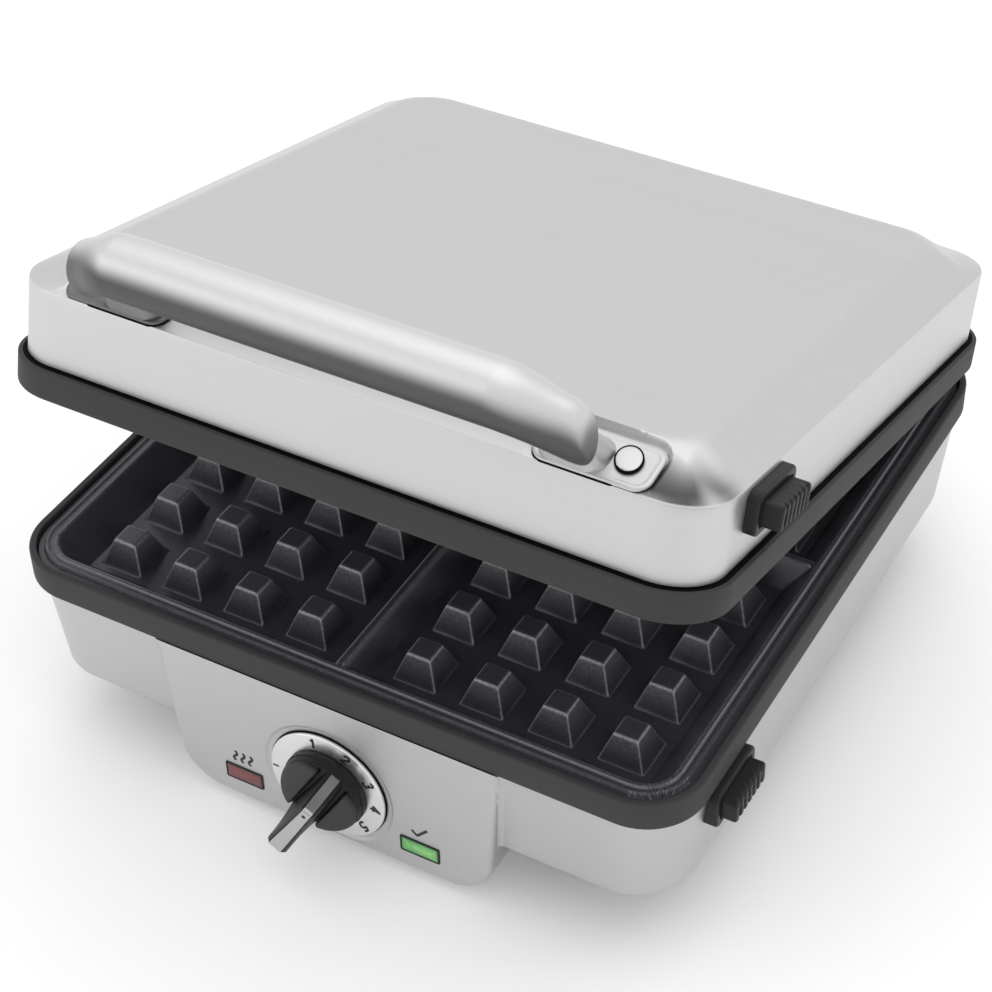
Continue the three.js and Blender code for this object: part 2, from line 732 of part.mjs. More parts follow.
// Screws through the bottom cover into the toe tabs
const screwHeadRadius = 3.6;
const screwHeadHeight = 2;
const screwLength = 9;
toeTabPlaces.forEach((place, index) => {
  const [x, y] = screwPlace(place);
  const head = -housingHeight - seatGap;
  add(group, `cover_screw_${index + 1}`, turnedUpright([
    [0, head - screwHeadHeight], [screwHeadRadius - seatGap, head - screwHeadHeight],
    [screwHeadRadius, head], [screwRadius, head], [screwRadius, head + screwLength], [0, head + screwLength],
  ], x, y), sheetMetal);
});

// Thermostat behind the console, with a collar through the console's face
const thermostatWidth = 34;
const thermostatHeight = 30;
const thermostatDepth = 22;
const thermostatCorner = 4;
const collarRadius = 5.4;
const shaftRadius = 3;
const shaftGap = 0.4;
const shaftRearLength = 14;
const thermostatFront = consoleFront + steelSheet + dialDishDepth + seatGap;
const dialRingBack = consoleFront + dialDishDepth - seatGap;
const dialRingThickness = 1.5;
const dialRingFront = dialRingBack - dialRingThickness;

function thermostat() {
  const body = alongY(roundedShape(-thermostatWidth / 2, thermostatWidth / 2, dialZ - thermostatHeight / 2,
    dialZ + thermostatHeight / 2, thermostatCorner), thermostatFront, thermostatFront + thermostatDepth);
  const collar = rod(collarRadius, at(0, dialRingBack, dialZ), at(0, thermostatFront + thermostatDepth / 2, dialZ));
  const bore = rod(shaftRadius + shaftGap, at(0, dialRingBack - cutOverrun, dialZ),
    at(0, thermostatFront + shaftRearLength + seatGap, dialZ));
  return cut(join(body, collar), bore);
}

add(group, 'thermostat', thermostat(), blackPlastic);

// Dial ring in the console's dish
const dialRingRadius = 26.2;
const dialRingHole = 8;
add(group, 'dial_ring', cut(
  rod(dialRingRadius, at(0, dialRingFront, dialZ), at(0, dialRingBack, dialZ)),
  rod(dialRingHole, at(0, dialRingFront - cutOverrun, dialZ), at(0, dialRingBack + cutOverrun, dialZ))), silver);

// Indicators: a thin frame through the console's face, a lens in it, and a lamp in the frame's sleeve
const lensFrameProud = 0.5;
const lensThickness = 2;
const lensFrameSleeve = 12;
const lampRadius = 2.8;
const lampLength = 15;

function indicator(side, name, material) {
  const front = consoleFront - lensFrameProud;
  const sleeveEnd = consoleFront + lensFrameSleeve;
  const surround = cut(
    indicatorBlock(side, lensFrameWidth, lensFrameHeight, 0, front, sleeveEnd),
    indicatorBlock(side, lensWidth, lensHeight, seatGap, front - cutOverrun, sleeveEnd + cutOverrun));
  const lens = indicatorBlock(side, lensWidth, lensHeight, 0, front, front + lensThickness);
  const lampFront = front + lensThickness + seatGap;
  const lamp = rod(lampRadius, at(side * indicatorX, lampFront, indicatorZ),
    at(side * indicatorX, lampFront + lampLength, indicatorZ));
  add(group, `${name}_lens_frame`, surround, blackPlastic);
  add(group, `${name}_lens`, lens, material);
  add(group, `${name}_lamp`, lamp, glass);
}

indicator(-1, 'heating', redLens);
indicator(1, 'ready', greenLens);

// Control knob: a skirt, a domed body and an upright grip bar with a bright inlay over its tip and crest.
// It is built with its pointer up and its back at zero reach, and stands out towards -Y.
const pointerDegrees = 31;
const knobBackGap = 0.4;
const knobSkirtRadius = 19.6;
const knobSkirtHeight = 2.6;
const knobSkirtEdge = 1;
const domeFootRadius = 18;
const domeCrownRadius = 7;
const domeHeight = 10;
const domeSteps = 4;
const gripBarHalfLength = 17.6;
const gripBarFootHalfWidth = 4.8;
const gripBarCrestHalfWidth = 3.8;
const gripBarHeight = 24.5;
const gripBarCorner = 2;
const gripBarCrestDraft = 0.6;
const inlayHalfWidth = 2.7;
const inlayThickness = 1;
const inlayFootHeight = 4.5;
const shaftInKnob = 10;

const knobGroup = new THREE.Group();
knobGroup.position.set(0, dialRingFront - knobBackGap, dialZ);
knobGroup.rotation.y = THREE.MathUtils.degToRad(pointerDegrees);
group.add(knobGroup);

// Puts a solid that was built upwards, with its tip towards +Y, on the console's face: up becomes -Y, tip becomes +Z
function towardsUser(geometry) {
  return geometry.rotateX(Math.PI / 2);
}

// Side view of the inlay in tip direction and height, grown by a margin for the groove that it lies in
function inlayShape(margin) {
  const shape = new THREE.Shape();
  const tip = gripBarHalfLength + gripBarCrestDraft;
  const crest = gripBarHeight;
  const low = inlayFootHeight - margin;
  const outside = margin > 0 ? cutOverrun : 0;
  const depth = inlayThickness + margin;
  const tipFace = gripBarHalfLength - gripBarCrestDraft;
  const tail = -tip;
  shape.moveTo(tipFace + outside, low);
  shape.lineTo(tipFace + outside, crest + outside);
  shape.lineTo(tail, crest + outside);
  shape.lineTo(tail, crest - depth);
  shape.lineTo(tipFace - depth, crest - depth);
  shape.lineTo(tipFace - depth, low);
  return shape;
}

function controlKnob() {
  const profile = [[0, 0], [knobSkirtRadius, 0], [knobSkirtRadius, knobSkirtHeight - knobSkirtEdge],
    [knobSkirtRadius - knobSkirtEdge, knobSkirtHeight]];
  for (let step = 0; step <= domeSteps; step++) {
    const angle = step / domeSteps * Math.PI / 2;
    profile.push([domeCrownRadius + (domeFootRadius - domeCrownRadius) * Math.cos(angle),
      knobSkirtHeight + domeHeight * Math.sin(angle)]);
  }
  profile.push([0, knobSkirtHeight + domeHeight]);
  const dome = turnedUpright(profile, 0, 0);
  const bar = loft([
    roundedLoop(gripBarFootHalfWidth, gripBarHalfLength, gripBarCorner, knobSkirtHeight / 2),
    roundedLoop(gripBarCrestHalfWidth, gripBarHalfLength - gripBarCrestDraft, gripBarCorner, gripBarHeight),
  ]);
  const groove = alongX(inlayShape(seatGap), -inlayHalfWidth - seatGap, inlayHalfWidth + seatGap);
  const bore = rod(shaftRadius + seatGap, at(0, 0, -cutOverrun), at(0, 0, shaftInKnob + seatGap));
  return towardsUser(cut(join(dome, bar), groove, bore));
}

const shaftRear = thermostatFront + shaftRearLength - (dialRingFront - knobBackGap);
add(knobGroup, 'control_knob', controlKnob(), blackPlastic);
add(knobGroup, 'knob_inlay', towardsUser(alongX(inlayShape(0), -inlayHalfWidth, inlayHalfWidth)), silver);
add(knobGroup, 'thermostat_shaft', towardsUser(rod(shaftRadius, at(0, 0, -shaftRear), at(0, 0, shaftInKnob))), sheetMetal);

// Release button: a ribbed cap with a stop inside the wall, built in the lid's way
const buttonRibCount = 7;
const buttonRibDepth = 0.9;
const buttonCorner = 1.5;
const escutcheonBorder = 3.6;
const escutcheonProud = 5;
const escutcheonCorner = 4;
const stopBehindWall = 0.5;

function releaseButton(latchY, z, wallInnerX) {
  const stopOuter = wallInnerX - stopBehindWall;
  const stopInner = stopOuter - buttonStopThickness;
  const y0 = latchY - buttonLength / 2;
  const y1 = latchY + buttonLength / 2;
  const cap = alongX(roundedShape(y0, y1, z - buttonHeight / 2, z + buttonHeight / 2, buttonCorner),
    stopInner, buttonOuterX);
  const border = buttonStopBorder;
  const stop = alongX(roundedShape(y0 - border, y1 + border, z - buttonHeight / 2 - border,
    z + buttonHeight / 2 + border, buttonCorner), stopInner, stopOuter);
  const pitch = buttonLength / buttonRibCount;
  const grooves = [];
  for (let i = 1; i < buttonRibCount; i++) {
    const y = y0 + i * pitch;
    grooves.push(block(buttonOuterX - buttonRibDepth, buttonOuterX + cutOverrun, y - pitch / 4, y + pitch / 4,
      z - buttonHeight, z + buttonHeight));
  }
  return cut(join(cap, stop), ...grooves);
}

// Latch: a sliding strip whose window's inner edge lies over the plate's barb, with a riser to its button
const latchTipReach = 6;
const riserThickness = 2.3;

function plateLatch(latchY, z, wallInnerX) {
  const outer = wallInnerX - stopBehindWall - buttonStopThickness - seatGap;
  const edge = legInner - seatGap;
  const strip = block(edge - latchTipReach, outer, latchY - latchWidth / 2, latchY + latchWidth / 2,
    latchNear, latchNear + latchThickness);
  const window = block(edge, legOuter + buttonTravel + seatGap, latchY - legWidth / 2 - seatGap,
    latchY + legWidth / 2 + seatGap, latchNear - cutOverrun, latchNear + latchThickness + cutOverrun);
  const riser = block(outer - riserThickness, outer, latchY - latchWidth / 2, latchY + latchWidth / 2,
    latchNear, Math.max(z, latchMiddle) + buttonHeight / 2);
  return cut(join(strip, riser), window);
}

// Return spring: a short coil on the button's stop beside the latch, shown at its pressed length
const springWire = 0.45;
const springRadius = 2.2;
const springTurnCount = 3;
const springPitch = 1.4;
const springTurnSteps = 8;
const springSides = 4;
const springSideOffset = 10.5;

class Coil extends THREE.Curve {
  getPoint(t) {
    const angle = 2 * Math.PI * springTurnCount * t;
    return at(-springPitch * springTurnCount * t, springRadius * Math.cos(angle), springRadius * Math.sin(angle));
  }
}

function returnSpring(latchY, z, wallInnerX) {
  const start = wallInnerX - stopBehindWall - buttonStopThickness - springWire - seatGap;
  const coil = tube(new Coil(), springWire, springTurnCount * springTurnSteps, springSides);
  return coil.translate(start, latchY + springSideOffset, z);
}

// Escutcheon round a button, cut to the wall that it lies on
function escutcheon(latchY, z, wallX, wallSolid) {
  const border = escutcheonBorder;
  const plate = alongX(roundedShape(latchY - buttonLength / 2 - border, latchY + buttonLength / 2 + border,
    z - buttonHeight / 2 - border, z + buttonHeight / 2 + border, escutcheonCorner),
  wallX - escutcheonProud, wallX + escutcheonProud);
  return cut(plate, wallSolid, buttonHole(latchY, z, buttonSideGap));
}

// The lower set is mirrored into the base, so its heights are depths below the base frame's top
const lowerWallInset = skirtInset(lowerButtonZ - buttonHeight / 2 - buttonStopBorder) + steelSheet;
const lowerWallInner = frameWidth / 2 - lowerWallInset;
const lowerWallOuter = frameWidth / 2 - skirtInset(lowerButtonZ);
add(group, 'lower_escutcheon', escutcheon(lowerLatchY, lowerButtonZ, lowerWallOuter,
  skirt(-seatGap, -housingHeight, -seatGap)), blackPlastic);
addToBase('lower_release_button', releaseButton(lowerLatchY, latchMiddle, lowerWallInner), blackPlastic);
addToBase('lower_latch', plateLatch(lowerLatchY, latchMiddle, lowerWallInner), sheetMetal);
addToBase('lower_release_spring', returnSpring(lowerLatchY, latchMiddle, lowerWallInner), sheetMetal);

// Hinge: a forked bracket on the base, an arm on the lid that runs in the fork, and a pin
const hingeSetback = 55;
const hingeSpacing = frameWidth - 2 * hingeSetback;
const hingeLugRadius = 8.5;
const hingeArmRadius = 7.6;
const hingeArmWidth = 12;
const hingeCheek = 5;
const hingeSideGap = 0.4;
const hingePlate = 2.7;
const hingePlateDrop = 24;
const hingePlateTop = 7;
const pinRadius = 3;
const pinGap = 0.35;
const pinHeadRadius = 4.5;
const pinHead = 1.6;
const armPadThickness = 3;
const armPadLow = 1.6;
const armPadHeight = 12;
const armNeckHalf = 5;

function hingeBracket(x) {
  const face = frameDepth / 2 + seatGap;
  const half = hingeArmWidth / 2 + hingeSideGap;
  const outer = half + hingeCheek;
  const lug = new THREE.Shape();
  lug.moveTo(face, hingePlateTop);
  lug.lineTo(face, -hingePlateDrop);
  lug.lineTo(face + hingePlate, -hingePlateDrop);
  lug.lineTo(hingeAxisY + hingeLugRadius * Math.SQRT1_2, hingeAxisZ - hingeLugRadius * Math.SQRT1_2);
  lug.absarc(hingeAxisY, hingeAxisZ, hingeLugRadius, -Math.PI / 4, Math.PI / 2);
  lug.lineTo(face + hingePlate, hingePlateTop);
  const slot = block(x - half, x + half, face + hingePlate, hingeAxisY + 2 * hingeLugRadius,
    hingeAxisZ - 2 * hingeLugRadius, hingeAxisZ + 2 * hingeLugRadius);
  const bore = rod(pinRadius + pinGap, at(x - outer - cutOverrun, hingeAxisY, hingeAxisZ),
    at(x + outer + cutOverrun, hingeAxisY, hingeAxisZ));
  return cut(alongX(lug, x - outer, x + outer), slot, bore);
}

// Built in the lid's own frame, closed
function hingeArm(x) {
  const axisZ = hingeAxisZ - baseFrameHeight - closedGap;
  const face = frameDepth / 2 + seatGap;
  const top = armPadLow + armPadHeight;
  const arm = new THREE.Shape();
  arm.moveTo(face, armPadLow);
  arm.lineTo(hingeAxisY - hingeArmRadius * Math.SQRT1_2, axisZ + hingeArmRadius * Math.SQRT1_2);
  arm.absarc(hingeAxisY, axisZ, hingeArmRadius, 0.9 * Math.PI, 2.3 * Math.PI);
  arm.lineTo(face + armPadThickness, top);
  arm.lineTo(face, top);
  const bore = rod(pinRadius + pinGap, at(x - hingeArmWidth, hingeAxisY, axisZ), at(x + hingeArmWidth, hingeAxisY, axisZ));
  const blade = cut(alongX(arm, x - hingeArmWidth / 2, x + hingeArmWidth / 2), bore);
  const pad = block(x - hingeArmWidth / 2 - armNeckHalf, x + hingeArmWidth / 2 + armNeckHalf,
    face, face + armPadThickness, armPadLow, top);
  return join(blade, pad);
}

function hingePin(x) {
  const half = hingeArmWidth / 2 + hingeSideGap + hingeCheek + seatGap;
  const shank = rod(pinRadius, at(x - half, hingeAxisY, hingeAxisZ), at(x + half + pinHead / 2, hingeAxisY, hingeAxisZ));
  return join(shank, rod(pinHeadRadius, at(x + half, hingeAxisY, hingeAxisZ),
    at(x + half + pinHead, hingeAxisY, hingeAxisZ)));
}

for (const [side, sign] of [['left', -1], ['right', 1]]) {
  const x = sign * hingeSpacing / 2;
  add(group, `hinge_bracket_${side}`, hingeBracket(x), blackPlastic);
  add(group, `hinge_pin_${side}`, hingePin(x), sheetMetal);
  add(lid, `hinge_arm_${side}`, hingeArm(x), blackPlastic);
}

// Cord gland in the rear wall
const glandGroove = 2.4;
const glandInnerFlange = 1.5;
function cordGland() {
  const wall = frameDepth / 2 - skirtInset(glandZ);
  const inner = wall - steelSheet - seatGap - glandGroove;
  const outer = wall + glandGroove / 2;
  const sleeve = rod(glandSleeveRadius, at(0, inner, 0), at(0, outer, 0));
  const innerFlange = rod(glandSleeveRadius + glandInnerFlange, at(0, inner - glandFlange, 0), at(0, inner, 0));
  const outerFlange = rod(glandFlangeRadius, at(0, outer, 0), at(0, outer + glandFlange, 0));
  const bore = rod(glandBore, at(0, inner - glandFlange - cutOverrun, 0), at(0, outer + glandFlange + cutOverrun, 0));
  return cut(join(sleeve, innerFlange, outerFlange), bore).translate(glandX, 0, glandZ);
}

add(group, 'cord_gland', cordGland(), rubber);

// Lid frame, with a dark neck under the steel and a rib inside it
const coverInset = 4;
const neckHeight = 1.8;
const neckInset = 4.6;
const lidRibLength = 5;
const coverFoot = lidFrameHeight + neckHeight + seatGap;

function lidFrame() {
  const ribInset = coverInset + steelSheet + seatGap;
  const neckTop = lidFrameHeight + neckHeight;
  const shelfBack = lidFrameHeight - shelfThickness;
  const neck = ring(frameLoop, neckInset, ribInset + ribThickness - neckInset, shelfBack, neckTop);
  const rib = ring(frameLoop, ribInset, ribThickness, shelfBack, neckTop + lidRibLength);
  const opening = prism(ribInset + ribThickness, ledgeBack, lidFrameHeight + cutOverrun);
  const shelf = cut(prism(frameEdge, shelfBack, lidFrameHeight), opening);
  const rim = cut(frameRing(lidFrameHeight), prism(frameRim, shelfBack, lidFrameHeight + cutOverrun));
  return join(rim, shelf, neck, rib);
}

add(lid, 'lid_frame', lidFrame(), darkPlastic);
add(lid, 'upper_plate', gridPlate(upperLatchY), coatedPlate);
add(lid, 'upper_heater_tray', heaterTray(upperLatchY), sheetMetal);
add(lid, 'upper_heating_element', heatingElement(), sheetMetal);
add(lid, 'upper_rack_front', elementRack(-rackSpacing / 2), sheetMetal);
add(lid, 'upper_rack_rear', elementRack(rackSpacing / 2), sheetMetal);

// Lid cover: upright wall, broad chamfer all round, flat top, and a pocket in the front chamfer for each handle tab
const coverWallTop = 45.3;
const coverHeight = 54.8;
const coverTopInset = 24.3;
const coverCorner = 21;
const coverTopCorner = 20;
const pocketRise = 4.7;
const tabSetback = 29;
const tabWidth = 45;
const tabOuterX = frameWidth / 2 - tabSetback;
const tabInnerX = tabOuterX - tabWidth;
const tabDepth = 19;
const tabThickness = 3.4;
const tabCorner = 7;
const pocketMargin = 1;
const pocketHeight = 14;

const chamferRun = coverTopInset - coverInset;
const tabSlope = Math.atan(pocketRise / chamferRun);

function coverLoop(inset, radius, z) {
  const round = Math.max(radius, smallestCorner);
  return roundedLoop(frameWidth / 2 - inset, frameDepth / 2 - inset, round, z);
}

// Outside of the cover, moved inwards by an offset
function coverForm(offset, foot) {
  return loft([
    coverLoop(coverInset + offset, coverCorner - offset, foot),
    coverLoop(coverInset + offset, coverCorner - offset, coverWallTop - offset / 2),
    coverLoop(coverTopInset + offset / 2, coverTopCorner - offset / 2, coverHeight - offset),
  ]);
}

// Upright prism on the sloping floor of a tab's pocket: grown sideways by margin, from one height to another
function onTabFloor(side, margin, from, to) {
  const front = margin > 0 ? -2 * cutOverrun : seatGap;
  const shape = roundedShape(tabInnerX - margin, tabOuterX + margin, front, tabDepth + margin, tabCorner);
  const geometry = alongZ(shape, from, to);
  geometry.rotateX(tabSlope);
  geometry.translate(0, coverInset - frameDepth / 2, coverWallTop);
  return side > 0 ? geometry : mirroredInX(geometry);
}

// The same piece on the other side of the middle, with its faces still outwards
function mirroredInX(geometry) {
  const flipped = toGeometry(toSolid(geometry));
  flipped.scale(-1, 1, 1);
  const index = flipped.index.array;
  for (let i = 0; i < index.length; i += 3) {
    [index[i], index[i + 1]] = [index[i + 1], index[i]];
  }
  return flipped;
}

// Point and direction of the screw through a tab
const capSetback = 11.5;
const capX = tabOuterX - capSetback;
const capRadius = 5.8;
const capThickness = 2;
const handleScrewRadius = 2.2;
const handleScrewHead = 4.2;
const handleScrewHeadHeight = 1;
const handleScrewLength = 12;

function tabRod(side, radius, from, to) {
  const geometry = rod(radius, at(side * capX, tabDepth / 2, from), at(side * capX, tabDepth / 2, to));
  geometry.rotateX(tabSlope);
  return geometry.translate(0, coverInset - frameDepth / 2, coverWallTop);
}

function lidCover() {
  const pockets = [-1, 1].map((side) => onTabFloor(side, pocketMargin, 0, pocketHeight));
  const backings = [-1, 1].map((side) => onTabFloor(side, pocketMargin + steelSheet, -steelSheet, pocketHeight));
  const inside = cut(coverForm(steelSheet, coverFoot - cutOverrun), ...backings);
  const screwHoles = [-1, 1].map((side) => tabRod(side, handleScrewRadius + seatGap, -2 * cutOverrun, cutOverrun));
  return cut(coverForm(0, coverFoot), inside, ...pockets, ...screwHoles, buttonHole(upperLatchY, upperButtonZ, buttonSideGap));
}

add(lid, 'lid_cover', lidCover(), brushedSteel);

// Handle: a thick bow whose ends turn down and back to the tabs. Its section is an ellipse that leans with the bow.
const gripEndSetback = 45.5;
const gripHalfSpan = frameWidth / 2 - gripEndSetback;
const gripForward = 18.4;
const gripZ = 74.7;
const gripHalfHeight = 11.9;
const gripHalfDepth = 13;
const gripTiltDegrees = 29;
const gripEndForward = 5.7;
const gripEndZ = 61.7;
const gripEndHalfHeight = 8.3;
const gripEndHalfDepth = 16.5;
const gripEndTiltDegrees = 62;
const gripBendShare = 0.73;
const gripEndRound = 15.5;
const gripEndPower = 2.3;
const gripEndTipShare = 0.15;
const gripBendSteps = 6;
const gripSides = 12;
const footInset = 2;
const footWidth = 20;
const footSeatDepth = 13;
const footTopDepth = 7;
const footTopForward = 16;
const footTopZ = 68;

function gripLoop(share) {
  const x = share * gripHalfSpan;
  const bend = THREE.MathUtils.smoothstep(Math.abs(share), gripBendShare, 1);
  const past = Math.max(0, (Math.abs(x) - gripHalfSpan + gripEndRound) / gripEndRound);
  const left = Math.max(0, 1 - Math.min(1, past) ** gripEndPower);
  const size = Math.max(gripEndTipShare, left ** (1 / gripEndPower));
  const centreY = -frameDepth / 2 - THREE.MathUtils.lerp(gripForward, gripEndForward, bend);
  const centreZ = THREE.MathUtils.lerp(gripZ, gripEndZ, bend);
  const halfHeight = size * THREE.MathUtils.lerp(gripHalfHeight, gripEndHalfHeight, bend);
  const halfDepth = size * THREE.MathUtils.lerp(gripHalfDepth, gripEndHalfDepth, bend);
  const tilt = THREE.MathUtils.degToRad(THREE.MathUtils.lerp(gripTiltDegrees, gripEndTiltDegrees, bend));
  const loop = [];
  for (let i = 0; i < gripSides; i++) {
    const angle = 2 * Math.PI * i / gripSides;
    const up = halfHeight * Math.sin(angle);
    const out = halfDepth * Math.cos(angle);
    loop.push(at(x, centreY + out * Math.cos(tilt) + up * Math.sin(tilt),
      centreZ - out * Math.sin(tilt) + up * Math.cos(tilt)));
  }
  return loop;
}

function gripBow() {
  const shares = [];
  for (let i = 0; i <= gripBendSteps; i++) {
    shares.push(gripBendShare + (1 - gripBendShare) * Math.sin(i / gripBendSteps * Math.PI / 2));
  }
  return loft([...shares.map((share) => -share).reverse(), ...shares].map(gripLoop));
}

// Short foot that joins the bow's end to its tab
function gripFoot(side) {
  const front = coverInset - frameDepth / 2 + seatGap;
  const x = tabInnerX + footInset + footWidth / 2;
  const topY = -frameDepth / 2 - footTopForward + footTopDepth / 2;
  const seatZ = coverWallTop + seatGap + tabThickness / 2;
  const rise = footSeatDepth * Math.tan(tabSlope);
  const seat = roundedLoop(footWidth / 2, footSeatDepth / 2, tabThickness, seatZ, x, front + footSeatDepth / 2);
  seat.forEach((point) => {
    point.z += rise * (point.y - front) / footSeatDepth;
  });
  const top = roundedLoop(footWidth / 2 - footInset, footTopDepth / 2, tabThickness, footTopZ, x, topY);
  const foot = loft([seat, top]);
  return side > 0 ? foot : mirroredInX(foot);
}

function lidHandle() {
  const feet = [-1, 1].map(gripFoot);
  const tabs = [-1, 1].map((side) => onTabFloor(side, 0, seatGap, seatGap + tabThickness));
  const clear = cut(coverForm(-seatGap, coverFoot),
    ...[-1, 1].map((side) => onTabFloor(side, pocketMargin - seatGap, seatGap, pocketHeight)));
  const capSeats = [-1, 1].map((side) => tabRod(side, capRadius + seatGap,
    seatGap + tabThickness - capThickness, pocketHeight));
  const headSeats = [-1, 1].map((side) => tabRod(side, handleScrewHead + seatGap,
    seatGap + tabThickness - capThickness - handleScrewHeadHeight - 2 * seatGap, pocketHeight));
  const holes = [-1, 1].map((side) => tabRod(side, handleScrewRadius + seatGap, -cutOverrun, pocketHeight));
  return cut(join(gripBow(), ...feet, ...tabs), clear, ...capSeats, ...headSeats, ...holes);
}

add(lid, 'lid_handle', lidHandle(), castMetal);
for (const [name, side] of [['left', -1], ['right', 1]]) {
  const capFloor = tabThickness - capThickness + 2 * seatGap;
  const headTop = capFloor - seatGap;
  add(lid, `handle_cap_${name}`, tabRod(side, capRadius, capFloor, tabThickness + 2 * seatGap), silver);
  add(lid, `handle_screw_${name}`, join(
    tabRod(side, handleScrewHead, headTop - handleScrewHeadHeight, headTop),
    tabRod(side, handleScrewRadius, headTop - handleScrewLength, headTop - handleScrewHeadHeight / 2)), sheetMetal);
}

// Upper release set on the lid cover's right wall
const upperWallOuter = frameWidth / 2 - coverInset;
const upperWallInner = upperWallOuter - steelSheet;
add(lid, 'upper_escutcheon', escutcheon(upperLatchY, upperButtonZ, upperWallOuter, coverForm(-seatGap, coverFoot)), blackPlastic);
add(lid, 'upper_release_button', releaseButton(upperLatchY, upperButtonZ, upperWallInner), blackPlastic);
add(lid, 'upper_latch', plateLatch(upperLatchY, upperButtonZ, upperWallInner), sheetMetal);
add(lid, 'upper_release_spring', returnSpring(upperLatchY, upperButtonZ, upperWallInner), sheetMetal);

// The origin goes to the bottom centre of the bounding box
group.updateMatrixWorld(true);
const bounds = new THREE.Box3().setFromObject(group);
group.position.set(-(bounds.min.x + bounds.max.x) / 2, -(bounds.min.y + bounds.max.y) / 2, -bounds.min.z);
group.updateMatrixWorld(true);

export default group;
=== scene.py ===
"""Belgian waffle maker: the visual model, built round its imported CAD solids.

Sizes are in millimetres in the part's own build coordinates: zero in X and Y is the middle of the frames,
zero in Z is the base frame's lower edge, X runs to the right and the user stands at -Y. Lid pieces are built
as they lie when the lid is closed and are then turned to their rest angle.
"""

import json
import logging
import math
from dataclasses import dataclass
from enum import Enum
from typing import Optional, Sequence, Union

import bmesh
import bpy
import numpy as np
from mathutils import Matrix, Vector


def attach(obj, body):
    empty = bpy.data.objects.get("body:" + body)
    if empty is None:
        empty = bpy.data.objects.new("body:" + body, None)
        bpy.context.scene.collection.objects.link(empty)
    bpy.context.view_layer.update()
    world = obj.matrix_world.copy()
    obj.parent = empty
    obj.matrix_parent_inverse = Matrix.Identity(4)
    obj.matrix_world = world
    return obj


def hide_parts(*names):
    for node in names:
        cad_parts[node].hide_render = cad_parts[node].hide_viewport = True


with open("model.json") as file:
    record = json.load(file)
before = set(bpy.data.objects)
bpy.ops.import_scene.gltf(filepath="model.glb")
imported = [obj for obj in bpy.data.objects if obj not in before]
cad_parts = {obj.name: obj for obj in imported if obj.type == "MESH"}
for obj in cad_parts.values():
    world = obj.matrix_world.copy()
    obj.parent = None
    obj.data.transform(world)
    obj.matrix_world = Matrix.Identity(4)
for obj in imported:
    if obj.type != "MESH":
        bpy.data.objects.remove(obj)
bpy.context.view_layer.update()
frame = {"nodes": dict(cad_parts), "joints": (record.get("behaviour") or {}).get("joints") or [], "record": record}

LOG = logging.getLogger("waffle_maker")
MM = 0.001
FRAME_HALF = 150.0
FRAME_CORNER = 25.0
BASE_FRAME_HEIGHT = 12.5
CLOSED_GAP = 0.6
LID_WALL_INSET = 3.8
LID_WALL_TOP = 43.2
POCKET_SLOPE = 7.4 / 20.5
CONSOLE_FACE = 150.5
DIAL_Z = -44.0
HINGE_Y = 162.0
HINGE_Z = 6.0
REST_DEGREES = 14.8
CORNER_STEPS = 14
SIDES = {"left": -1, "right": 1}

Array = np.ndarray
Row = tuple[float, float]


class Body(Enum):
    """The moving bodies that a piece can ride on."""

    BASE = "base"
    LID = "lid"
    KNOB = "knob"
    LOWER_RELEASE = "lower_release"
    UPPER_RELEASE = "upper_release"


class Facing(Enum):
    """Where an outline drawn in u and v stands: the columns give the directions of u, v and depth."""

    UP = ((1, 0, 0), (0, 1, 0), (0, 0, 1))
    FRONT = ((1, 0, 0), (0, 0, 1), (0, -1, 0))
    BACK = ((-1, 0, 0), (0, 0, 1), (0, 1, 0))
    RIGHT = ((0, 1, 0), (0, 0, 1), (1, 0, 0))

    def place(self, points: Array) -> Array:
        """Turns points of u, v and depth into X, Y and Z."""
        return points @ np.array(self.value, float)


# ---------------------------------------------------------------- placing
def lid_offset() -> float:
    """Height of the lid frame's lower edge above the base frame's lower edge when closed."""
    return BASE_FRAME_HEIGHT + CLOSED_GAP


def hinge_anchor() -> Vector:
    """Point of the lid's hinge in the row frame, in metres."""
    joint = next(j for j in frame["joints"] if j["name"] == "lid_hinge")
    return Vector(joint["pos_m"])


ORIGIN = np.array(hinge_anchor()) / MM - np.array([0.0, HINGE_Y, HINGE_Z])


def turned_with_lid(points: Array) -> Array:
    """Turns closed-lid coordinates to the lid's rest angle.

    The turn is about the X line through the hinge, by the rest angle: with dy and dz measured from the hinge,
    y = dy cos a + dz sin a and z = dz cos a - dy sin a.

    Args:
        points: array of X, Y and Z in build coordinates, lid closed.

    Returns:
        The same points with the lid ajar.
    """
    angle = math.radians(REST_DEGREES)
    dy = points[..., 1] - HINGE_Y
    dz = points[..., 2] - HINGE_Z
    y = HINGE_Y + dy * math.cos(angle) + dz * math.sin(angle)
    z = HINGE_Z - dy * math.sin(angle) + dz * math.cos(angle)
    return np.stack([points[..., 0], y, z], axis=-1)


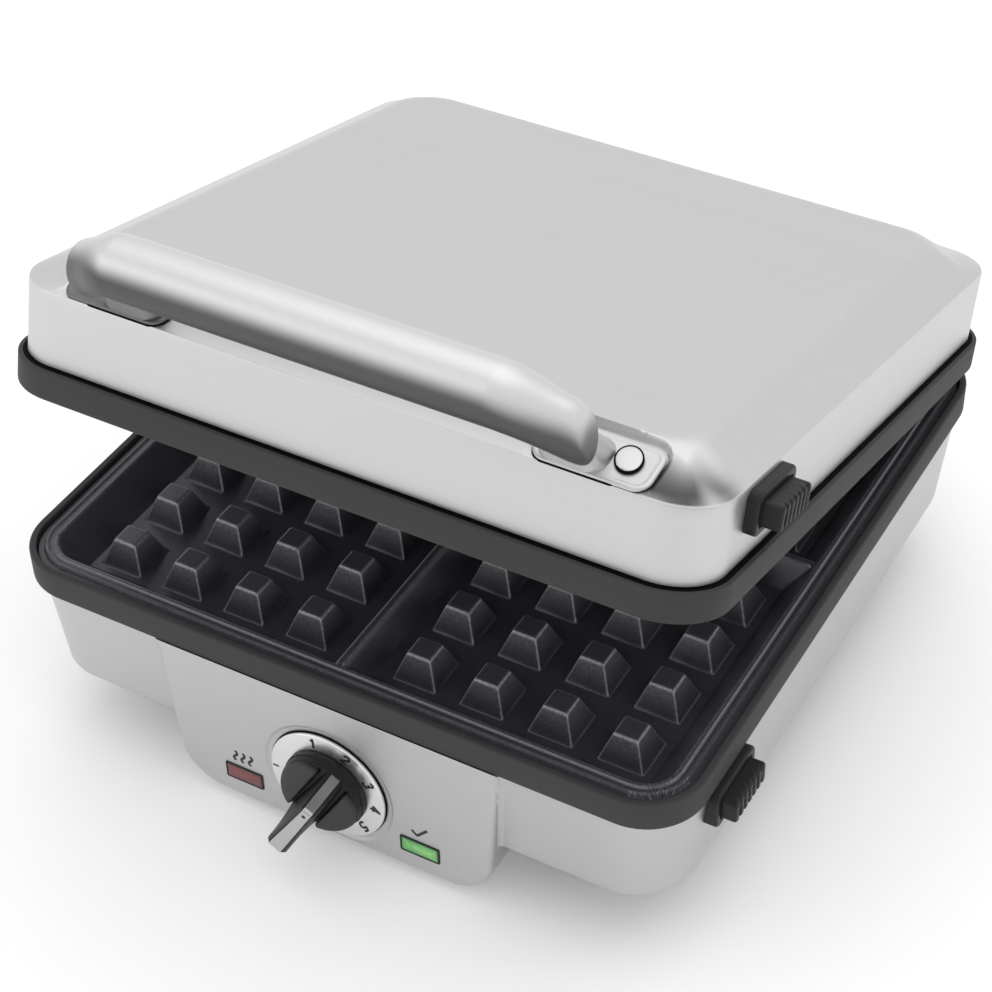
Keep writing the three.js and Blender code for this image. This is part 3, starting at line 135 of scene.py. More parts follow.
# ---------------------------------------------------------------- shader maths
class Shade:
    """A number socket in a material's node tree, so that shader maths reads as an expression."""

    def __init__(self, material: "NodeTree", socket: bpy.types.NodeSocket) -> None:
        """Keeps the tree and the socket."""
        self.tree = material
        self.socket = socket

    def _math(self, operation: str, first: "Number", second: "Number") -> "Shade":
        """Adds one Math node with two inputs."""
        node = self.tree.node("ShaderNodeMath", {"operation": operation}, {0: first, 1: second})
        return Shade(self.tree, node.outputs[0])

    def __add__(self, other: "Number") -> "Shade":
        """Sum."""
        return self._math("ADD", self, other)

    def __radd__(self, other: "Number") -> "Shade":
        """Sum, number first."""
        return self._math("ADD", other, self)

    def __sub__(self, other: "Number") -> "Shade":
        """Difference."""
        return self._math("SUBTRACT", self, other)

    def __rsub__(self, other: "Number") -> "Shade":
        """Difference, number first."""
        return self._math("SUBTRACT", other, self)

    def __mul__(self, other: "Number") -> "Shade":
        """Product."""
        return self._math("MULTIPLY", self, other)

    def __rmul__(self, other: "Number") -> "Shade":
        """Product, number first."""
        return self._math("MULTIPLY", other, self)

    def band(self, low: float, high: float) -> "Shade":
        """Rises from 0 at low to 1 at high, with a smooth start and end."""
        sockets = {"Value": self, "From Min": low, "From Max": high}
        node = self.tree.node("ShaderNodeMapRange", {"interpolation_type": "SMOOTHSTEP"}, sockets)
        return Shade(self.tree, node.outputs["Result"])


Number = Union[Shade, float]
Color = tuple[float, float, float]


class NodeTree:
    """One procedural material and the few node recipes that the finishes share."""

    def __init__(self, name: str) -> None:
        """Makes an empty material with a surface shader."""
        self.material = bpy.data.materials.new(name)
        self.material.use_nodes = True
        self.tree = self.material.node_tree
        self.tree.nodes.clear()
        output = self.tree.nodes.new("ShaderNodeOutputMaterial")
        self.surface = self.tree.nodes.new("ShaderNodeBsdfPrincipled")
        self.tree.links.new(self.surface.outputs["BSDF"], output.inputs["Surface"])

    def node(self, kind: str, settings: dict[str, object], sockets: dict[object, object]) -> bpy.types.Node:
        """Adds a node.

        Args:
            kind: the node's type.
            settings: its own settings, which are set first.
            sockets: values or links by socket name or number.

        Returns:
            The new node.
        """
        made = self.tree.nodes.new(kind)
        for key, value in settings.items():
            setattr(made, key, value)
        for key, value in sockets.items():
            self.feed(made.inputs[key], value)
        return made

    def feed(self, socket: bpy.types.NodeSocket, value: object) -> None:
        """Links a socket to another one, or sets its value."""
        if isinstance(value, (Shade, bpy.types.NodeSocket)):
            self.tree.links.new(getattr(value, "socket", value), socket)
        elif isinstance(value, tuple) and len(value) == 3 and len(socket.default_value) == 4:
            socket.default_value = (*value, 1.0)
        else:
            socket.default_value = value

    def noise(self, scale: Union[float, Color], detail: float = 2.0, roughness: float = 0.55) -> Shade:
        """Noise from 0 to 1 over Object coordinates.

        Args:
            scale: cycles per metre, one for all axes or one for each.
            detail: octaves.
            roughness: share of the finer octaves.

        Returns:
            The noise as a number socket.
        """
        stretch = scale if isinstance(scale, tuple) else (scale,) * 3
        source = self.node("ShaderNodeTexCoord", {}, {})
        place = self.node("ShaderNodeMapping", {}, {"Vector": source.outputs["Object"], "Scale": stretch})
        sockets = {"Vector": place.outputs["Vector"], "Scale": 1.0, "Detail": detail, "Roughness": roughness}
        made = self.node("ShaderNodeTexNoise", {"noise_dimensions": "3D"}, sockets)
        return Shade(self, made.outputs["Fac"])

    def shade(self) -> Shade:
        """The piece's own number from 0 to 1 at each point."""
        made = self.node("ShaderNodeAttribute", {"attribute_name": "shade"}, {})
        return Shade(self, made.outputs["Fac"])

    def tint(self, first: object, second: Color, share: Number) -> bpy.types.NodeSocket:
        """Mix of a first colour, plain or linked, and a second one."""
        made = self.node("ShaderNodeMix", {"data_type": "RGBA"}, {0: share, 6: first, 7: second})
        return made.outputs[2]

    def bump(self, height: Shade, strength: float, distance: float) -> None:
        """Feeds a height into the surface's normal. The distance is that of one unit, in metres."""
        made = self.node("ShaderNodeBump", {}, {"Height": height, "Strength": strength, "Distance": distance})
        self.tree.links.new(made.outputs["Normal"], self.surface.inputs["Normal"])

    def set(self, **values: object) -> None:
        """Sets or links sockets of the surface shader, with underscores for spaces in their names."""
        for key, value in values.items():
            self.feed(self.surface.inputs[key.replace("_", " ")], value)


def grey(value: float) -> Color:
    """Linear grey."""
    return (value, value, value)


class Grain(Enum):
    """Direction of a brushed grain: cycles per metre along X, Y and Z."""

    ACROSS = (9.0, 950.0, 950.0)
    DEPTH = (950.0, 9.0, 950.0)
    ROUND = (620.0, 620.0, 620.0)


@dataclass(frozen=True)
class BrushedMetal:
    """Satin metal: fine grain, faint streaks, cloudy scuffs, and painted shade where the shade attribute says."""

    name: str
    base: float
    roughness: float
    grain: Grain = Grain.ACROSS
    contrast: float = 0.06
    shade_depth: float = 0.6

    def build(self) -> bpy.types.Material:
        """Builds the material."""
        tree = NodeTree(self.name)
        along, across, upright = self.grain.value
        fine = tree.noise(self.grain.value, 4.0, 0.65)
        broad = tree.noise((along * 0.35, across * 0.12, upright * 0.12))
        cloud = tree.noise(14.0)
        low, high = grey(self.base * (1 - self.contrast)), grey(self.base * (1 + self.contrast))
        color = tree.tint(low, high, fine * 0.55 + broad * 0.3 + cloud * 0.15)
        # Painted shade: the shade attribute mixes the colour towards a darker grey.
        tree.set(
            Base_Color=tree.tint(color, grey(self.base * (1 - self.shade_depth)), tree.shade()),
            Metallic=1.0,
            Roughness=self.roughness + (fine - 0.5) * 0.16 + (cloud - 0.5) * 0.05,
        )
        tree.bump(fine * 0.8 + broad * 0.2, 0.12, 0.00006)
        return tree.material


@dataclass(frozen=True)
class MouldedPlastic:
    """Matt moulded plastic with a fine spark texture and slightly polished high spots."""

    name: str
    base: float
    roughness: float = 0.5
    texture: float = 1400.0
    bump: float = 0.25
    specular: float = 0.5

    def build(self) -> bpy.types.Material:
        """Builds the material."""
        tree = NodeTree(self.name)
        spark = tree.noise(self.texture, 2.0, 0.5)
        cloud = tree.noise(22.0)
        tree.set(
            Base_Color=tree.tint(grey(self.base * 0.86), grey(self.base * 1.16), spark * 0.5 + cloud * 0.5),
            Roughness=self.roughness + (cloud - 0.5) * 0.12 + (spark - 0.5) * 0.1,
            Specular_IOR_Level=self.specular,
        )
        tree.bump(spark, self.bump, 0.00005)
        return tree.material


@dataclass(frozen=True)
class NonStick:
    """Dark non-stick coating: sprayed texture, metallic flecks, painted highlights on scuffed edges."""

    name: str
    base: float = 0.048
    roughness: float = 0.33

    def build(self) -> bpy.types.Material:
        """Builds the material."""
        tree = NodeTree(self.name)
        spray = tree.noise(900.0, 3.0, 0.6)
        flecks = tree.noise(2600.0, 1.0).band(0.66, 0.78)
        cloud = tree.noise(30.0)
        dark = (self.base * 1.04, self.base * 0.98, self.base * 1.22)
        light = (self.base * 2.5, self.base * 2.4, self.base * 2.7)
        # Lighter where the shade attribute is high: painted highlights on scuffed edges, and a lighter tone up the
        # pyramids' sides.
        wear_and_highlight = tree.shade() * (spray.band(0.3, 0.6) * 0.6 + 0.4)
        color = tree.tint(dark, light, spray * 0.35 + flecks * 0.5)
        tree.set(
            Base_Color=tree.tint(color, (0.34, 0.34, 0.35), wear_and_highlight),
            Metallic=0.3,
            Roughness=self.roughness + (spray - 0.5) * 0.2 + (cloud - 0.5) * 0.1,
        )
        tree.bump(spray * 0.8 + flecks * 0.2, 0.35, 0.00008)
        return tree.material


@dataclass(frozen=True)
class Lens:
    """Moulded indicator lens, mottled behind a glossy face, lit or unlit."""

    name: str
    dark: Color
    light: Color
    glow: float

    def build(self) -> bpy.types.Material:
        """Builds the material."""
        tree = NodeTree(self.name)
        mottle = tree.noise((420.0, 420.0, 260.0))
        broad = tree.noise((90.0, 90.0, 160.0), 1.0)
        # Lighter towards the middle where the shade attribute is high: on the lit lens the lamp's glow, on the
        # unlit one painted light.
        share = (mottle.band(0.3, 0.7) * 0.3 + broad.band(0.35, 0.65) * 0.2 + 0.5) * tree.shade()
        color = tree.tint(self.dark, self.light, share)
        tree.set(Base_Color=color, Roughness=0.16, Coat_Weight=0.4, Coat_Roughness=0.05)
        if self.glow > 0:
            tree.set(Emission_Color=color, Emission_Strength=self.glow)
        tree.bump(mottle, 0.1, 0.0001)
        return tree.material


@dataclass(frozen=True)
class ClearGlass:
    """Clear lamp glass with a faint haze."""

    name: str

    def build(self) -> bpy.types.Material:
        """Builds the material."""
        tree = NodeTree(self.name)
        haze = tree.noise(180.0)
        color = tree.tint((0.82, 0.78, 0.7), (0.95, 0.93, 0.88), haze)
        tree.set(Base_Color=color, Roughness=0.08 + haze * 0.05, Alpha=0.5)
        return tree.material


class Palette(Enum):
    """The finishes of the waffle maker, by the material slot that each is for."""

    LID_STEEL = "lid_steel", BrushedMetal("lid_steel", 0.6, 0.44, contrast=0.07, shade_depth=0.88)
    HOUSING_STEEL = "housing_steel", BrushedMetal("housing_steel", 0.54, 0.44, contrast=0.07)
    FRAME_PLASTIC = "frame_plastic", MouldedPlastic("frame_plastic", 0.05, 0.6, specular=0.12)
    BLACK_PLASTIC = "black_plastic", MouldedPlastic("black_plastic", 0.012, 0.45, specular=0.25)
    # One black knob plastic in two copies: a darker one, painted shade, for body and bar, and a lighter one,
    # painted light, for the pads.
    KNOB_BLACK = "knob_plastic", MouldedPlastic("knob_black_plastic", 0.005, 0.45, 1800.0, 0.12, 0.3)
    KNOB_PLASTIC = "knob_plastic", MouldedPlastic("knob_pad_plastic", 0.018, 0.42, 1800.0, 0.15, 0.4)
    # Black for the handle caps' seals, and for painted shadow: the lid frame's strip, the lines under the handle's
    # tabs, the dial's gap.
    SEAL = "black_plastic", MouldedPlastic("joint_seal", 0.003, 0.8, 1500.0, 0.1, 0.06)
    PLATE_COATING = "plate_coating", NonStick("plate_coating")
    TRAY_METAL = "tray_metal", BrushedMetal("tray_metal", 0.6, 0.4, Grain.DEPTH)
    ELEMENT_METAL = "element_metal", BrushedMetal("element_metal", 0.16, 0.5, Grain.ROUND, 0.2)
    HANDLE_METAL = "handle_metal", BrushedMetal("handle_metal", 0.66, 0.48, contrast=0.05, shade_depth=0.84)
    DIAL_SILVER = "dial_silver", BrushedMetal("dial_silver", 0.78, 0.3, Grain.ROUND, 0.04)
    INLAY_SILVER = "dial_silver", BrushedMetal("inlay_silver", 0.5, 0.32, Grain.ROUND, 0.08, 0.8)
    CAP_METAL = "handle_metal", BrushedMetal("cap_metal", 0.6, 0.45, Grain.ROUND, 0.05)
    SCREW_STEEL = "screw_steel", BrushedMetal("screw_steel", 0.5, 0.35, Grain.ROUND, 0.1)
    RED_LENS = "red_lens", Lens("red_lens", (0.09, 0.008, 0.01), (0.19, 0.02, 0.022), 0.0)
    GREEN_LENS = "green_lens", Lens("green_lens", (0.01, 0.14, 0.03), (0.17, 0.42, 0.12), 0.45)
    LAMP_GLASS = "lamp_glass", ClearGlass("lamp_glass")
    FOOT_RUBBER = "foot_rubber", MouldedPlastic("foot_rubber", 0.012, 0.75, 700.0, 0.4)
    INK = "dial_silver", MouldedPlastic("print_ink", 0.006, 0.5, 1600.0, 0.05)

    @property
    def slot(self) -> str:
        """The record's material slot."""
        return self.value[0]

    @property
    def material(self) -> bpy.types.Material:
        """The finish's material, which is built once."""
        name = "fin_" + self.value[1].name
        found = bpy.data.materials.get(name)
        if found is None:
            found = self.value[1].build()
            found.name = name
        return found


# ---------------------------------------------------------------- shapes
def fillet_path(points: Sequence[Row], radii: Sequence[float], steps: int = 6, closed: bool = False) -> Array:
    """Polyline whose corners are rounded by arcs.

    At each corner the arc touches both legs at r / tan(half the inner angle) from the corner. Its points are
    the centre plus r times the direction that swings evenly from one touching point to the other.

    Args:
        points: the polyline's corners.
        radii: one radius a corner, zero for a sharp one.
        steps: segments in each arc.
        closed: whether the last corner is joined to the first.

    Returns:
        The rounded line, one point a row.
    """
    line: list[Array] = []
    corners = np.array(points, float)
    count = len(corners)
    for i, (corner, radius) in enumerate(zip(corners, radii)):
        if radius <= 0 or (not closed and i in (0, count - 1)):
            line.append(corner)
            continue
        back, ahead = corners[i - 1] - corner, corners[(i + 1) % count] - corner
        back_length, ahead_length = np.linalg.norm(back), np.linalg.norm(ahead)
        back, ahead = back / back_length, ahead / ahead_length
        half = math.acos(float(np.clip(back @ ahead, -1, 1))) / 2
        if half > math.pi / 2 - 1e-3:
            line.append(corner)
            continue
        reach = min(radius / math.tan(half), 0.495 * back_length, 0.495 * ahead_length)
        centre = corner + (back + ahead) / np.linalg.norm(back + ahead) * reach / math.cos(half)
        start, end = corner + back * reach - centre, corner + ahead * reach - centre
        first = math.atan2(start[1], start[0])
        sweep = (math.atan2(end[1], end[0]) - first + math.pi) % (2 * math.pi) - math.pi
        angles = first + sweep * np.linspace(0, 1, steps + 1)
        line.extend(centre + np.linalg.norm(start) * np.column_stack([np.cos(angles), np.sin(angles)]))
    return np.array(line)


def spaced(start: float, end: float, step: float) -> Array:
    """Even places from start to end, no further apart than step."""
    return np.linspace(start, end, max(2, int(math.ceil(abs(end - start) / step)) + 1))


def chain(start: float, *rest: float) -> Array:
    """Places from a start through further ends, each given after the greatest step on the way to it."""
    ends = [start, *rest[1::2]]
    return np.concatenate([[start], *(spaced(*run)[1:] for run in zip(ends, ends[1:], rest[::2]))])


def shares(places: Sequence[float], half: float) -> Array:
    """Places from -half to half as shares of the way."""
    return (np.array(places) + half) / (2 * half)


def stacked(loops: Sequence[tuple[Array, float]]) -> Array:
    """Plane loops, each at its own depth, as rows by columns by u, v and depth."""
    return np.array([np.column_stack([flat, np.full(len(flat), depth)]) for flat, depth in loops])


def within(values: Array, ends: Row) -> Array:
    """Whether values lie between two ends."""
    return (values > ends[0]) & (values < ends[1])


def bell(value: Array, width: float) -> Array:
    """Bell curve, exp(-(value / width)^2)."""
    return np.exp(-((value / width) ** 2))


def smoothstep(low: float, high: float, value: Array) -> Array:
    """Smooth rise from 0 at low to 1 at high."""
    share = np.clip((value - low) / (high - low), 0, 1)
    return share * share * (3 - 2 * share)


def soft_max(a: Array, b: Union[Array, float], blend: float) -> Array:
    """Larger of two values, with the crease between them rounded over a width of blend."""
    mix = np.maximum(blend - np.abs(a - b), 0) / blend
    return np.maximum(a, b) + mix * mix * blend / 4


def soft_min(a: Array, b: Array, blend: float) -> Array:
    """Smaller of two values, with the crease rounded."""
    return -soft_max(-a, -b, blend)


def rounded_distance(x: Array, y: Array, half_x: float, half_y: float, radius: float) -> Array:
    """Distance outside a rounded rectangle, negative inside.

    With q = |p| - half + r, it is |max(q, 0)| + min(max(q), 0) - r.
    """
    qx = np.abs(x) - half_x + radius
    qy = np.abs(y) - half_y + radius
    outside = np.hypot(np.maximum(qx, 0), np.maximum(qy, 0))
    return outside + np.minimum(np.maximum(qx, qy), 0) - radius


@dataclass
class Outline:
    """Closed plane line, anticlockwise."""

    points: Array

    @property
    def normals(self) -> Array:
        """Outward directions, scaled so that an inset keeps its distance from both neighbouring legs."""
        legs = np.roll(self.points, -1, axis=0) - self.points
        legs = legs / np.maximum(np.linalg.norm(legs, axis=1, keepdims=True), 1e-9)
        out = np.stack([legs[:, 1], -legs[:, 0]], axis=-1)
        mean = out + np.roll(out, 1, axis=0)
        length = np.linalg.norm(mean, axis=1, keepdims=True)
        return mean / length / np.clip(length / 2, 0.5, 1)

    def inset(self, distance: float) -> Array:
        """Points moved inwards by a distance."""
        return self.points - distance * self.normals

    def loops(self, rows: Sequence[Row], facing: Facing) -> Array:
        """The outline carried through rows of inset and depth, in build coordinates."""
        return facing.place(stacked([(self.inset(inset), depth) for inset, depth in rows]))


def rounded_outline(
    corners: Sequence[Row], radii: Sequence[float], steps: int = 8, pieces: int = 1
) -> Outline:
    """Polygon with rounded corners, whose legs between the corners are cut into even pieces."""
    bends = fillet_path(corners, radii, steps, True).reshape(len(corners), steps + 1, 2)
    share = np.linspace(0, 1, pieces + 1)[1:-1, None]
    parts = [np.concatenate([bend, bend[-1] + (ahead[0] - bend[-1]) * share])
             for bend, ahead in zip(bends, np.roll(bends, -1, axis=0))]
    return Outline(np.concatenate(parts))


def rectangle(u: float, v: float, half_u: float, half_v: float, radius: float, steps: int = 8) -> Outline:
    """Rectangle about u, v with round corners."""
    ways = ((1, -1), (1, 1), (-1, 1), (-1, -1))
    return rounded_outline([(u + a * half_u, v + b * half_v) for a, b in ways], [radius] * 4, steps)


def circle(radius: float, u: float, v: float, steps: int) -> Outline:
    """Circle about u, v."""
    angles = np.arange(steps) * 2 * math.pi / steps
    return Outline(np.stack([u + radius * np.cos(angles), v + radius * np.sin(angles)], axis=-1))


@dataclass
class Stations:
    """Where a rounded rectangle's loops have their points: shares along each side and round each corner.

    Sides run right, back, left, front, anticlockwise from the front right corner.
    """

    sides: list[Array]
    corners: list[Array]

    @classmethod
    def plain(cls, corner_steps: int = CORNER_STEPS) -> "Stations":
        """Even stations round every corner and none on the sides."""
        return cls([np.empty(0)] * 4, [np.linspace(0, 1, corner_steps + 1)] * 4)


def rounded_loop(half_x: float, half_y: float, radius: float, stations: Stations) -> Array:
    """Rounded rectangle about zero as points of X and Y.

    A corner's points are its centre plus the radius times the direction, which swings by a quarter turn. A
    side's points lie at the given shares between the ends of the corners beside it.

    Args:
        half_x: half the width.
        half_y: half the depth.
        radius: corner radius.
        stations: where the points lie.

    Returns:
        One point a row, anticlockwise from the front right corner's start.
    """
    bends = []
    for quarter, signs in enumerate(((1, -1), (1, 1), (-1, 1), (-1, -1))):
        angles = (quarter - 1 + stations.corners[quarter]) * math.pi / 2
        centre = np.array(signs) * (half_x - radius, half_y - radius)
        bends.append(centre + radius * np.stack([np.cos(angles), np.sin(angles)], axis=-1))
    parts = []
    for bend, ahead, side in zip(bends, bends[1:] + bends[:1], stations.sides):
        parts += [bend, bend[-1] + (ahead[0] - bend[-1]) * side[:, None]]
    return np.concatenate(parts)


class Surface:
    """Collects grids and caps into one mesh, all in build coordinates."""

    def __init__(self) -> None:
        """Starts with nothing."""
        self.points: list[Array] = []
        self.shades: list[Array] = []
        self.faces: list[list[int]] = []
        self.count = 0

    def grid(
        self,
        points: Array,
        wrap_rows: bool = False,
        wrap_columns: bool = False,
        keep: Optional[Array] = None,
        shade: Union[Array, float] = 0.0,
        rising: Optional[Array] = None,
    ) -> Array:
        """Adds a grid of points joined by quads.

        Args:
            points: rows by columns by X, Y and Z.
            wrap_rows: whether the last row joins the first.
            wrap_columns: whether the last column joins the first.
            keep: which quads to keep, or all.
            shade: a number from 0 to 1, for all points or for each, that the finish may read.
            rising: for each quad, whether its rising diagonal splits it or the other. None keeps quads.

        Returns:
            The point numbers, rows by columns.
        """
        size = points.shape[:2]
        index = np.arange(size[0] * size[1]).reshape(size) + self.count
        wide = np.concatenate([index, index[:, :1]], axis=1) if wrap_columns else index
        tall = np.concatenate([wide, wide[:1]], axis=0) if wrap_rows else wide
        quads = np.stack([tall[:-1, :-1], tall[:-1, 1:], tall[1:, 1:], tall[1:, :-1]], axis=-1)
        quads = quads.reshape(-1, 4) if keep is None else quads[keep]
        parts = [quads]
        if rising is not None:
            up, other = quads[rising.reshape(-1)], quads[~rising.reshape(-1)]
            parts = [up[:, [0, 1, 2]], up[:, [0, 2, 3]], other[:, [0, 1, 3]], other[:, [1, 2, 3]]]
        for part in parts:
            self.faces += part.tolist()
        self.points.append(points.reshape(-1, 3))
        self.shades.append(np.broadcast_to(shade, size).reshape(-1).astype(float))
        self.count += index.size
        return index

    def cap(self, *rings: Array) -> None:
        """Closes each ring of point numbers with one flat face."""
        self.faces += [ring.tolist() for ring in rings]

    def tube(self, points: Array, shade: Union[Array, float] = 0.0) -> None:
        """Adds rows of closed loops with a flat face over each end."""
        index = self.grid(points, wrap_columns=True, shade=shade)
        self.cap(index[0][::-1], index[-1])

    def strip(self, points: Array, shade: Union[Array, float] = 0.0) -> None:
        """Adds a bar whose columns are closed loops, with a flat face over each end."""
        index = self.grid(points, wrap_rows=True, shade=shade)
        self.cap(index[:, 0], index[::-1, -1])

    def ring(self, points: Array) -> None:
        """Adds rows of closed loops, the last joined to the first."""
        self.grid(points, wrap_rows=True, wrap_columns=True)


@dataclass
class Piece:
    """What a finished surface is called, wears, rides on and stands for."""

    name: str
    finish: Palette
    body: Body
    replaces: str = ""
    sharp_degrees: float = 32.0

    def make(self, surface: Surface) -> None:
        """Turns a surface in build coordinates into the finished object, its place kept in its mesh."""
        points = np.concatenate(surface.points)
        if self.body in (Body.LID, Body.UPPER_RELEASE):
            points = turned_with_lid(points)
        mesh = bpy.data.meshes.new(self.name)
        mesh.from_pydata(((points + ORIGIN) * MM).tolist(), [], surface.faces)
        shade = mesh.attributes.new("shade", "FLOAT", "POINT")
        shade.data.foreach_set("value", np.concatenate(surface.shades).astype(np.float32))
        tidy = bmesh.new()
        tidy.from_mesh(mesh)
        bmesh.ops.remove_doubles(tidy, verts=tidy.verts, dist=2e-6)
        bmesh.ops.dissolve_degenerate(tidy, edges=tidy.edges, dist=1e-6)
        bmesh.ops.recalc_face_normals(tidy, faces=tidy.faces)
        tidy.to_mesh(mesh)
        tidy.free()
        mesh.shade_smooth()
        mesh.set_sharp_from_angle(angle=math.radians(self.sharp_degrees))
        mesh.materials.append(self.finish.material)
        made = bpy.data.objects.new(self.name, mesh)
        bpy.context.scene.collection.objects.link(made)
        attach(made, self.body.value)
        if self.replaces:
            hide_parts(self.replaces)
        LOG.info("%s: %d faces", made.name, len(mesh.polygons))


def rounded_edge(radius: float, face: float, steps: int = 4, inset: float = 0.0) -> list[Row]:
    """Rows of inset and depth of a quarter-round edge that runs out in a face."""
    return [(inset + radius * (1 - math.cos(a)), face - radius * (1 - math.sin(a)))
            for a in np.linspace(0, math.pi / 2, steps + 1)]


def eased(near: float, far: float, soft_near: float, soft_far: float) -> list[Row]:
    """Rows of inset and depth from a near to a far end, each with a rounded edge or a sharp one."""
    sign = 1 if far > near else -1
    start = [(inset, near - sign * depth) for inset, depth in rounded_edge(soft_near, 0.0)][::-1]
    end = [(inset, far + sign * depth) for inset, depth in rounded_edge(soft_far, 0.0)]
    return (start if soft_near else [(0.0, near)]) + (end if soft_far else [(0.0, far)])


def swept_ring(profile: Array, corner: float, stations: Stations) -> Array:
    """Rounded-rectangle ring: each profile point of inset and Z is carried round the frames' outline.

    The loop of a profile point has the half width 150 - inset and the corner radius max(R - inset, 1).

    Args:
        profile: inset and Z, one point a row.
        corner: outline corner radius R at zero inset.
        stations: where the loops have their points.

    Returns:
        Rows by columns by X, Y and Z.
    """
    halves = FRAME_HALF - profile[:, 0]
    return stacked([(rounded_loop(half, half, max(corner - inset, 1.0), stations), z)
                    for half, (inset, z) in zip(halves, profile)])


def ring_surface(corners: Sequence[Row], radii: Sequence[float]) -> Surface:
    """Closed ring round the frames' outline from a closed profile of inset and Z."""
    surface = Surface()
    surface.ring(swept_ring(fillet_path(corners, radii, 4, True), FRAME_CORNER, Stations.plain()))
    return surface


# ---------------------------------------------------------------- lid
@dataclass
class LidCover:
    """Steel pressing with an upright wall, a broad chamfer, a flat top and two handle pockets."""

    foot: float = 13.0
    height: float = 54.8
    top_inset: float = 24.3
    wall_corner: float = 21.0
    top_corner: float = 18.5
    bend: float = 1.1
    crease: float = 6.0
    corner_dish: float = 1.5
    pocket_x: Row = (75.0, 122.0)
    pocket_depth: float = 22.0
    pocket_corner: float = 7.5
    pocket_wall: float = 0.75
    sheet: float = 1.2
    hole_y: Row = (-113.4, -86.6)
    hole_z: Row = (27.6, 38.4)
    fine: float = 0.62
    fine_from: float = 66.0

    def stations(self) -> Stations:
        """Fine stations round the pockets, and lines along the button hole's edges."""
        end = FRAME_HALF - LID_WALL_INSET - self.wall_corner
        near = self.fine_from
        front = chain(-end, self.fine, -near, 5.5, near, self.fine, end)[1:-1]
        right = chain(-end, 4.0, self.hole_y[0], 4.0, self.hole_y[1], 12.0, end)[1:-1]
        plain = np.linspace(0, 1, 20)[1:-1]
        fine_corner, corner = np.linspace(0, 1, 45), np.linspace(0, 1, 23)
        sides = [shares(right, end), plain, plain, shares(front, end)]
        return Stations(sides, [fine_corner, corner, corner, fine_corner])

    def shell(self, offset: float) -> Array:
        """One skin of the cover.

        The profile of inset and height is a polyline with round corners. A loop at an inset between two key
        loops is their straight mix. In the corners the chamfer is dished by a half sine. In a pocket the
        height is the floor's, with a steep smooth wall where the distance to the pocket's outline passes
        zero.

        Args:
            offset: distance inwards from the outer face.

        Returns:
            Rows by columns by X, Y and Z, with Z from the lid frame's lower edge.
        """
        edge, top = LID_WALL_INSET, LID_WALL_TOP
        stations = self.stations()
        keys = np.array([edge, self.top_inset, 60.0, 140.0])
        radii = [self.wall_corner - offset, self.top_corner - offset / 2, 22.0, 5.0]
        halves = FRAME_HALF - keys - offset
        stack = np.array([rounded_loop(half, half, radius, stations) for half, radius in zip(halves, radii)])
        wall = chain(self.foot, 4, self.hole_z[0], 4, self.hole_z[1], 4, top - self.bend)
        upper = fillet_path(
            [(edge, top - self.bend), (edge, top - offset / 2), (self.top_inset, self.height - offset),
             (keys[-1], self.height - offset)],
            [0, self.bend * 1.5, self.crease * 2, 0], 9)
        reach = np.concatenate([
            spaced(edge, edge + self.bend, 0.3), spaced(8, 26.5, 0.42), [28, 31, 36, 44, 60, 90, 140]])[1:]
        insets = np.concatenate([np.full(len(wall), edge), reach])
        heights = np.concatenate([wall, np.interp(reach, upper[:, 0], upper[:, 1])])
        order = np.searchsorted(keys, insets, side="right").clip(1, len(keys) - 1)
        share = (insets - keys[order - 1]) / (keys[order] - keys[order - 1])
        flat = stack[order - 1] + (stack[order] - stack[order - 1]) * share[:, None, None]
        x, y = flat[..., 0], flat[..., 1]
        z = np.repeat(heights[:, None], x.shape[1], axis=1)
        chamfer = np.clip((insets - edge) / (self.top_inset - edge), 0, 1)[:, None]
        inner = FRAME_HALF - self.top_inset - self.top_corner
        corner = smoothstep(0.25, 0.9, np.minimum(np.abs(x) - inner, np.abs(y) - inner) / 24.0)
        z = z - self.corner_dish * np.sin(math.pi * chamfer) ** 1.2 * corner
        middle, half = sum(self.pocket_x) / 2, (self.pocket_x[1] - self.pocket_x[0]) / 2
        front, back = -FRAME_HALF - 10, -FRAME_HALF + edge + self.pocket_depth
        away = rounded_distance(
            np.abs(x) - middle, y - (front + back) / 2, half + offset, (back - front) / 2 + offset,
            self.pocket_corner)
        mask = smoothstep(-self.pocket_wall, self.pocket_wall, away)
        pressed = np.minimum(z, top + (y + FRAME_HALF - edge) * POCKET_SLOPE - offset)
        z = np.where((insets > edge + 1e-6)[:, None], pressed + (z - pressed) * mask, z)
        return np.stack([x, y, z], axis=-1)

    def corner_shade(self, points: Array) -> Array:
        """Painted dark patches at both ends of the front right chamfer corner, and a faint one under the handle.

        Each is a bell along the edge times a fall from the wall's top edge up the chamfer. The line x = -y
        runs between the two patches.
        """
        x, y, z = points[..., 0], points[..., 1], points[..., 2] - lid_offset()
        half = FRAME_HALF - LID_WALL_INSET
        inside = -rounded_distance(x, y, half, half, self.wall_corner)
        rise = np.clip(inside / (self.top_inset - LID_WALL_INSET), 0, 1)
        fall = (1 - rise**3) * smoothstep(0.0, 0.08, rise)
        # The two patches at the corner's ends are painted dark reflections.
        front = bell(np.maximum(x - 131, 0), 13) * smoothstep(113, 123, x) * smoothstep(-6, 6, 4 - x - y)
        right = bell(y + 127.5, 6.5) * smoothstep(-5, 5, x + y - 5)
        level = smoothstep(LID_WALL_TOP - 3.4, LID_WALL_TOP - 2.6, z + 1.5 * smoothstep(0.0, 0.3, rise))
        # A faint painted shade along the chamfer under the handle.
        under = 0.2 * smoothstep(0.02, 0.1, rise) * (1 - smoothstep(0.3, 0.7, rise)) * (np.abs(x) < 118)
        return (np.clip(1.1 * front + 0.75 * right, 0, 1) * fall + under) * level * (y < -100)

